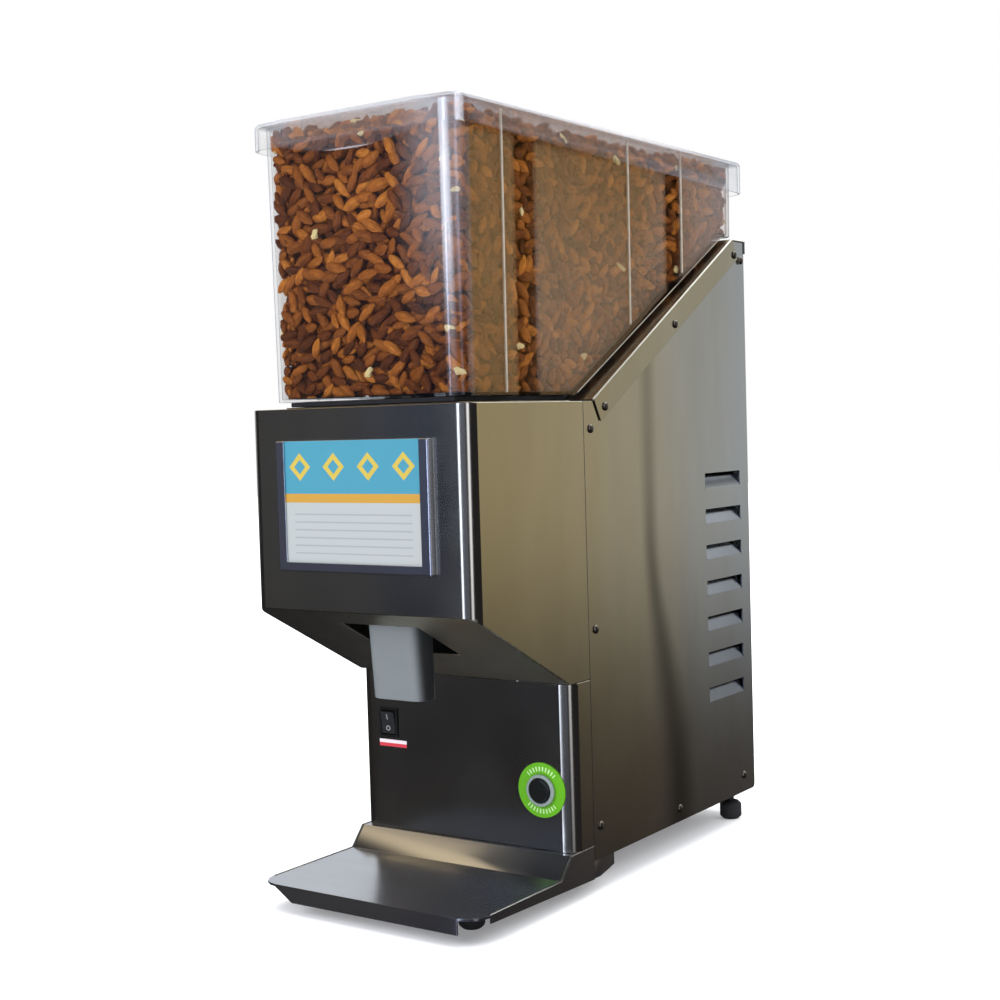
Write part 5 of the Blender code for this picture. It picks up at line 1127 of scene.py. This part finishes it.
class GRINDER_OT_hopper(Operator):
    """Finishes the clear hopper with its moulded ribs, and its lid"""

    bl_idname = "grinder.hopper"
    bl_label = "Hopper"

    def execute(self, context):
        settings = context.scene.grinder_plastic
        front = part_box("hopper")[0].y

        # Sides of the hopper that carry the painted warm reflection
        def painted_reflection_mask(x, y):
            return abs(x).over(HOPPER_SIDE, 0.0015) * y.over(front + 0.017, 0.003)

        def hopper_haze_and_painted_light(finish, x, y, z):
            # Painted warm reflection on the sides, cut off at the top and broken by clear stretches
            side = painted_reflection_mask(x, y) * (1 - z.over(VEIL_TOP, 0.007))
            for start, end in CLEAR_RUNS:
                side = side * (1 - y.between(front + start, front + end, 0.0008))
            ahead = 1 - y.over(front + 0.012, 0.004)
            # Painted reflection: a faint pale sheen high on the front toward its right corner
            glow = ahead * x.over(0.066, 0.030) * z.over(0.60, 0.10) * 0.07
            # Painted highlight: a pale upright bar near the front's right corner, stronger toward the top
            corner = ahead * x.between(0.0935, 0.1010, 0.0010) * (0.03 + 0.21 * z.over(0.57, 0.07))
            return settings.hopper_haze + settings.side_painted_reflection * side + glow + corner

        # Colour of the walls: clear in front, the painted warm reflection on the sides, paler toward the rear
        def warm(finish):
            x, y = finish.apart(finish.place)[:2]
            veil = finish.mix(y.over(0.13, 0.09), settings.veil_tint, settings.rear_veil_tint)
            return finish.mix(painted_reflection_mask(x, y), settings.clear_tint, veil)

        clear = clear_plastic("clear_hopper", hopper_haze_and_painted_light, warm)
        self.ribs(rounded_copy("hopper", clear, HOPPER, edge=0.0007))
        lid_low, lid_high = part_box("hopper_lid")

        def skirt_mask(x, y, z):
            ahead = (1 - abs(x).over(0.080, 0.022)) * (1 - y.over(front, 0.004))
            return (ahead + y.between(*SKIRT_RUNS, 0.02)) * z.between(SKIRT_FOOT, lid_high.z - 0.003, 0.003)

        def lid_haze_and_painted_light(finish, x, y, z):
            # Painted highlights: a glint down the front corner, and pale bands along the lid's top edge and
            # its foot
            glint = x.between(*LID_GLINT, 0.0006) * (1 - y.over(front + 0.006, 0.001))
            foot = 1 - z.over(lid_low.z + 0.0013, 0.0004)
            haze = settings.lid_haze + 0.12 * z.over(lid_high.z - 0.0030, 0.0010) + 0.25 * glint
            return haze + 0.09 * skirt_mask(x, y, z) + 0.16 * foot

        def lid_tint(finish):
            share = skirt_mask(*finish.apart(finish.place))
            return finish.mix(share, settings.clear_tint, settings.rear_veil_tint)

        clear = clear_plastic("clear_lid", lid_haze_and_painted_light, lid_tint)
        rounded_copy("hopper_lid", clear, LID, edge=0.0005)
        return {"FINISHED"}

    def ribs(self, wall):
        """Upright ribs down both sides, as round bars half sunk in the wall, and a pale line along its foot
        that is a painted highlight.
        """
        tree = surface(wall.data)
        low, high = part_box("hopper")
        lines = bmesh.new()
        rims = bmesh.new()
        for side in (-1, 1):
            for run in RIB_RUNS:
                line = []
                for step in range(RIB_STEPS + 1):
                    height = high.z - 0.002 - (high.z - low.z) * step / RIB_STEPS
                    hit = tree.ray_cast(Vector((side, low.y + run, height)), Vector((-side, 0, 0)))[0]
                    if hit is None or hit.x * side < 0.09:
                        break
                    line.append(hit - Vector((side * RIB_RADIUS * 0.4, 0, 0)))
                chain(lines, line)
            line = []
            for run in RIM_RUNS:
                height = np.interp(run, FLOOR_RUNS, FLOOR_HEIGHTS) - RIM_DROP
                hit = tree.ray_cast(Vector((side, run, height + RIM_DROP)), Vector((-side, 0, 0)))[0]
                line.append((hit.x, run, height))
            chain(rims, line)
        # Pale, partly opaque finish: the ribs are real shapes whose pale tone is a painted highlight, and the
        # foot line is a painted highlight
        finish = Finish("clear_rib", roughness=0.15)
        cloud = finish.noise(0.01)
        finish.set("base_color", finish.mix(cloud, (0.38, 0.34, 0.27), (0.50, 0.45, 0.38)))
        finish.set("alpha", 0.55 + 0.3 * cloud)
        finish.material.surface_render_method = "BLENDED"
        for name, chains, radius in (("hopper_ribs", lines, RIB_RADIUS), ("hopper_rim", rims, RIM_RADIUS)):
            made = round_bars(name, chains, radius, finish.material)
            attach(made, HOPPER)


class GRINDER_OT_works(Operator):
    """Finishes the mill, the motor and the screws"""

    bl_idname = "grinder.works"
    bl_label = "Works"

    def execute(self, context):
        self.screws()
        dress(galvanised("galvanised_steel", (0.55, 0.56, 0.57)), "base_pan", "motor_shelf", "fan_cowl")
        dress(sheet_steel("tool_steel", (0.42, 0.42, 0.43), 0.33, 0.0008, wave=0.0),
              "fixed_disc", "turning_disc", "disc_nut", "auger", "rotor", "bearing_front", "bearing_rear")
        dress(cast_metal("cast_aluminium", (0.62, 0.63, 0.64), 0.5), "mill_housing", "mill_cover",
              "motor_bell_front", "motor_bell_rear", "motor_cradle_1", "motor_cradle_2")
        dress(moulded("motor_paint", (0.03, 0.034, 0.04), 0.42, 0.002, 0.0001), "motor_frame")
        dress(moulded("inner_plastic", (0.02, 0.02, 0.02), 0.4), "fan", "capacitor", "contact_block")
        return {"FINISHED"}

    def screws(self):
        """Domed heads with a cross recess, in place of the CAD heads and where the pans are held."""
        spots = bmesh.new()
        heads = [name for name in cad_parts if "_screw_" in name]
        for name in heads:
            low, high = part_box(name)
            middle = (low + high) / 2
            side = math.copysign(1, middle.x)
            spots.verts.new((side * min(abs(low.x), abs(high.x)), middle.y, middle.z))
        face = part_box("side_panel_right")[1].x
        for side in (-1, 1):
            for y, z in PAN_SCREWS:
                spots.verts.new((side * face, y, z))
            spots.verts.new((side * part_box("saddle")[1].x, *CREST_SCREW))
        head = self.head()
        graph, given = node_group("case_screws", [("Head", "Object"), ("Material", "Material")])
        place = graph.add("GeometryNodeInputPosition")
        x = graph.apart(place)[0]
        out = graph.join(x.maths("SIGN", x), 0.0, 0.0)
        turned = graph.add("FunctionNodeAlignRotationToVector", {"axis": "Z"}, {"Vector": out})
        spin = graph.join(0.0, 0.0, graph.random(0.0, math.tau, 3))
        about = graph.add("FunctionNodeEulerToRotation", None, {0: spin})
        both = graph.add("FunctionNodeRotateRotation", {"rotation_space": "LOCAL"}, {0: turned, 1: about})
        shape = graph.add("GeometryNodeObjectInfo", None, {"Object": given["Head"]}, output=4)
        points = graph.add("GeometryNodeMeshToPoints", None, {"Mesh": given["Geometry"]})
        laid = graph.add("GeometryNodeInstanceOnPoints", None,
                         {"Points": points, "Instance": shape, "Rotation": both})
        close_group(graph, laid, given["Material"])
        steel = sheet_steel("screw_steel", (0.30, 0.27, 0.22), 0.32, 0.0006, wave=0.0)
        made = baked(run_group(link_mesh("screw_spots", spots), graph, {"Head": head, "Material": steel}),
                     "case_screws", steel)
        bpy.data.objects.remove(head, do_unlink=True)
        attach(made, CASE)
        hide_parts(*heads)

    def head(self):
        """One screw head about its own axis, a dome with a sunk cross."""
        bm = bmesh.new()
        rings = []
        for radius, height in SCREW_PROFILE:
            ring_points = []
            for step in range(SCREW_STEPS):
                angle = math.tau * step / SCREW_STEPS
                arm = radius * (1.0 if radius > 0.0026 or step % 4 in (0, 1) else 0.36)
                ring_points.append(bm.verts.new((arm * math.cos(angle), arm * math.sin(angle), height)))
            rings.append(ring_points)
        for lower, upper in zip(rings, rings[1:]):
            for step in range(SCREW_STEPS):
                after = (step + 1) % SCREW_STEPS
                bm.faces.new((lower[step], lower[after], upper[after], upper[step]))
        bm.faces.new(reversed(rings[0]))
        bm.faces.new(rings[-1])
        made = link_mesh("screw_head", bm)
        smooth_under(made, 40)
        return made


class GRINDER_PT_panel(Panel):
    """Lists the grinder's pieces in the sidebar"""

    bl_label = "Grinder"
    bl_idname = "GRINDER_PT_panel"
    bl_space_type = "VIEW_3D"
    bl_region_type = "UI"
    bl_category = "Grinder"

    def draw(self, context):
        for operator in OPERATORS:
            self.layout.operator(operator.bl_idname)
        for name in SETTINGS:
            box = self.layout.box()
            group = getattr(context.scene, name)
            for key in type(group).__annotations__:
                box.prop(group, key)


SETTINGS = {
    "grinder_stage": StageSettings,
    "grinder_steel": SteelSettings,
    "grinder_nuts": NutSettings,
    "grinder_plastic": PlasticSettings,
    "grinder_sign": SignSettings,
}
OPERATORS = (GRINDER_OT_stage, GRINDER_OT_case, GRINDER_OT_fittings, GRINDER_OT_sign, GRINDER_OT_nuts,
             GRINDER_OT_hopper, GRINDER_OT_works)


def register():
    """Registers the settings, the operators and the panel."""
    for name, group in SETTINGS.items():
        bpy.utils.register_class(group)
        setattr(bpy.types.Scene, name, PointerProperty(type=group))
    for operator in OPERATORS:
        bpy.utils.register_class(operator)
    bpy.utils.register_class(GRINDER_PT_panel)


def unregister():
    """Takes them all away again."""
    bpy.utils.unregister_class(GRINDER_PT_panel)
    for operator in reversed(OPERATORS):
        bpy.utils.unregister_class(operator)
    for name, group in SETTINGS.items():
        delattr(bpy.types.Scene, name)
        bpy.utils.unregister_class(group)


def main():
    """Makes every piece in order."""
    register()
    for operator in OPERATORS:
        group, action = operator.bl_idname.split(".")
        getattr(getattr(bpy.ops, group), action)()


if __name__ == "__main__":
    main()
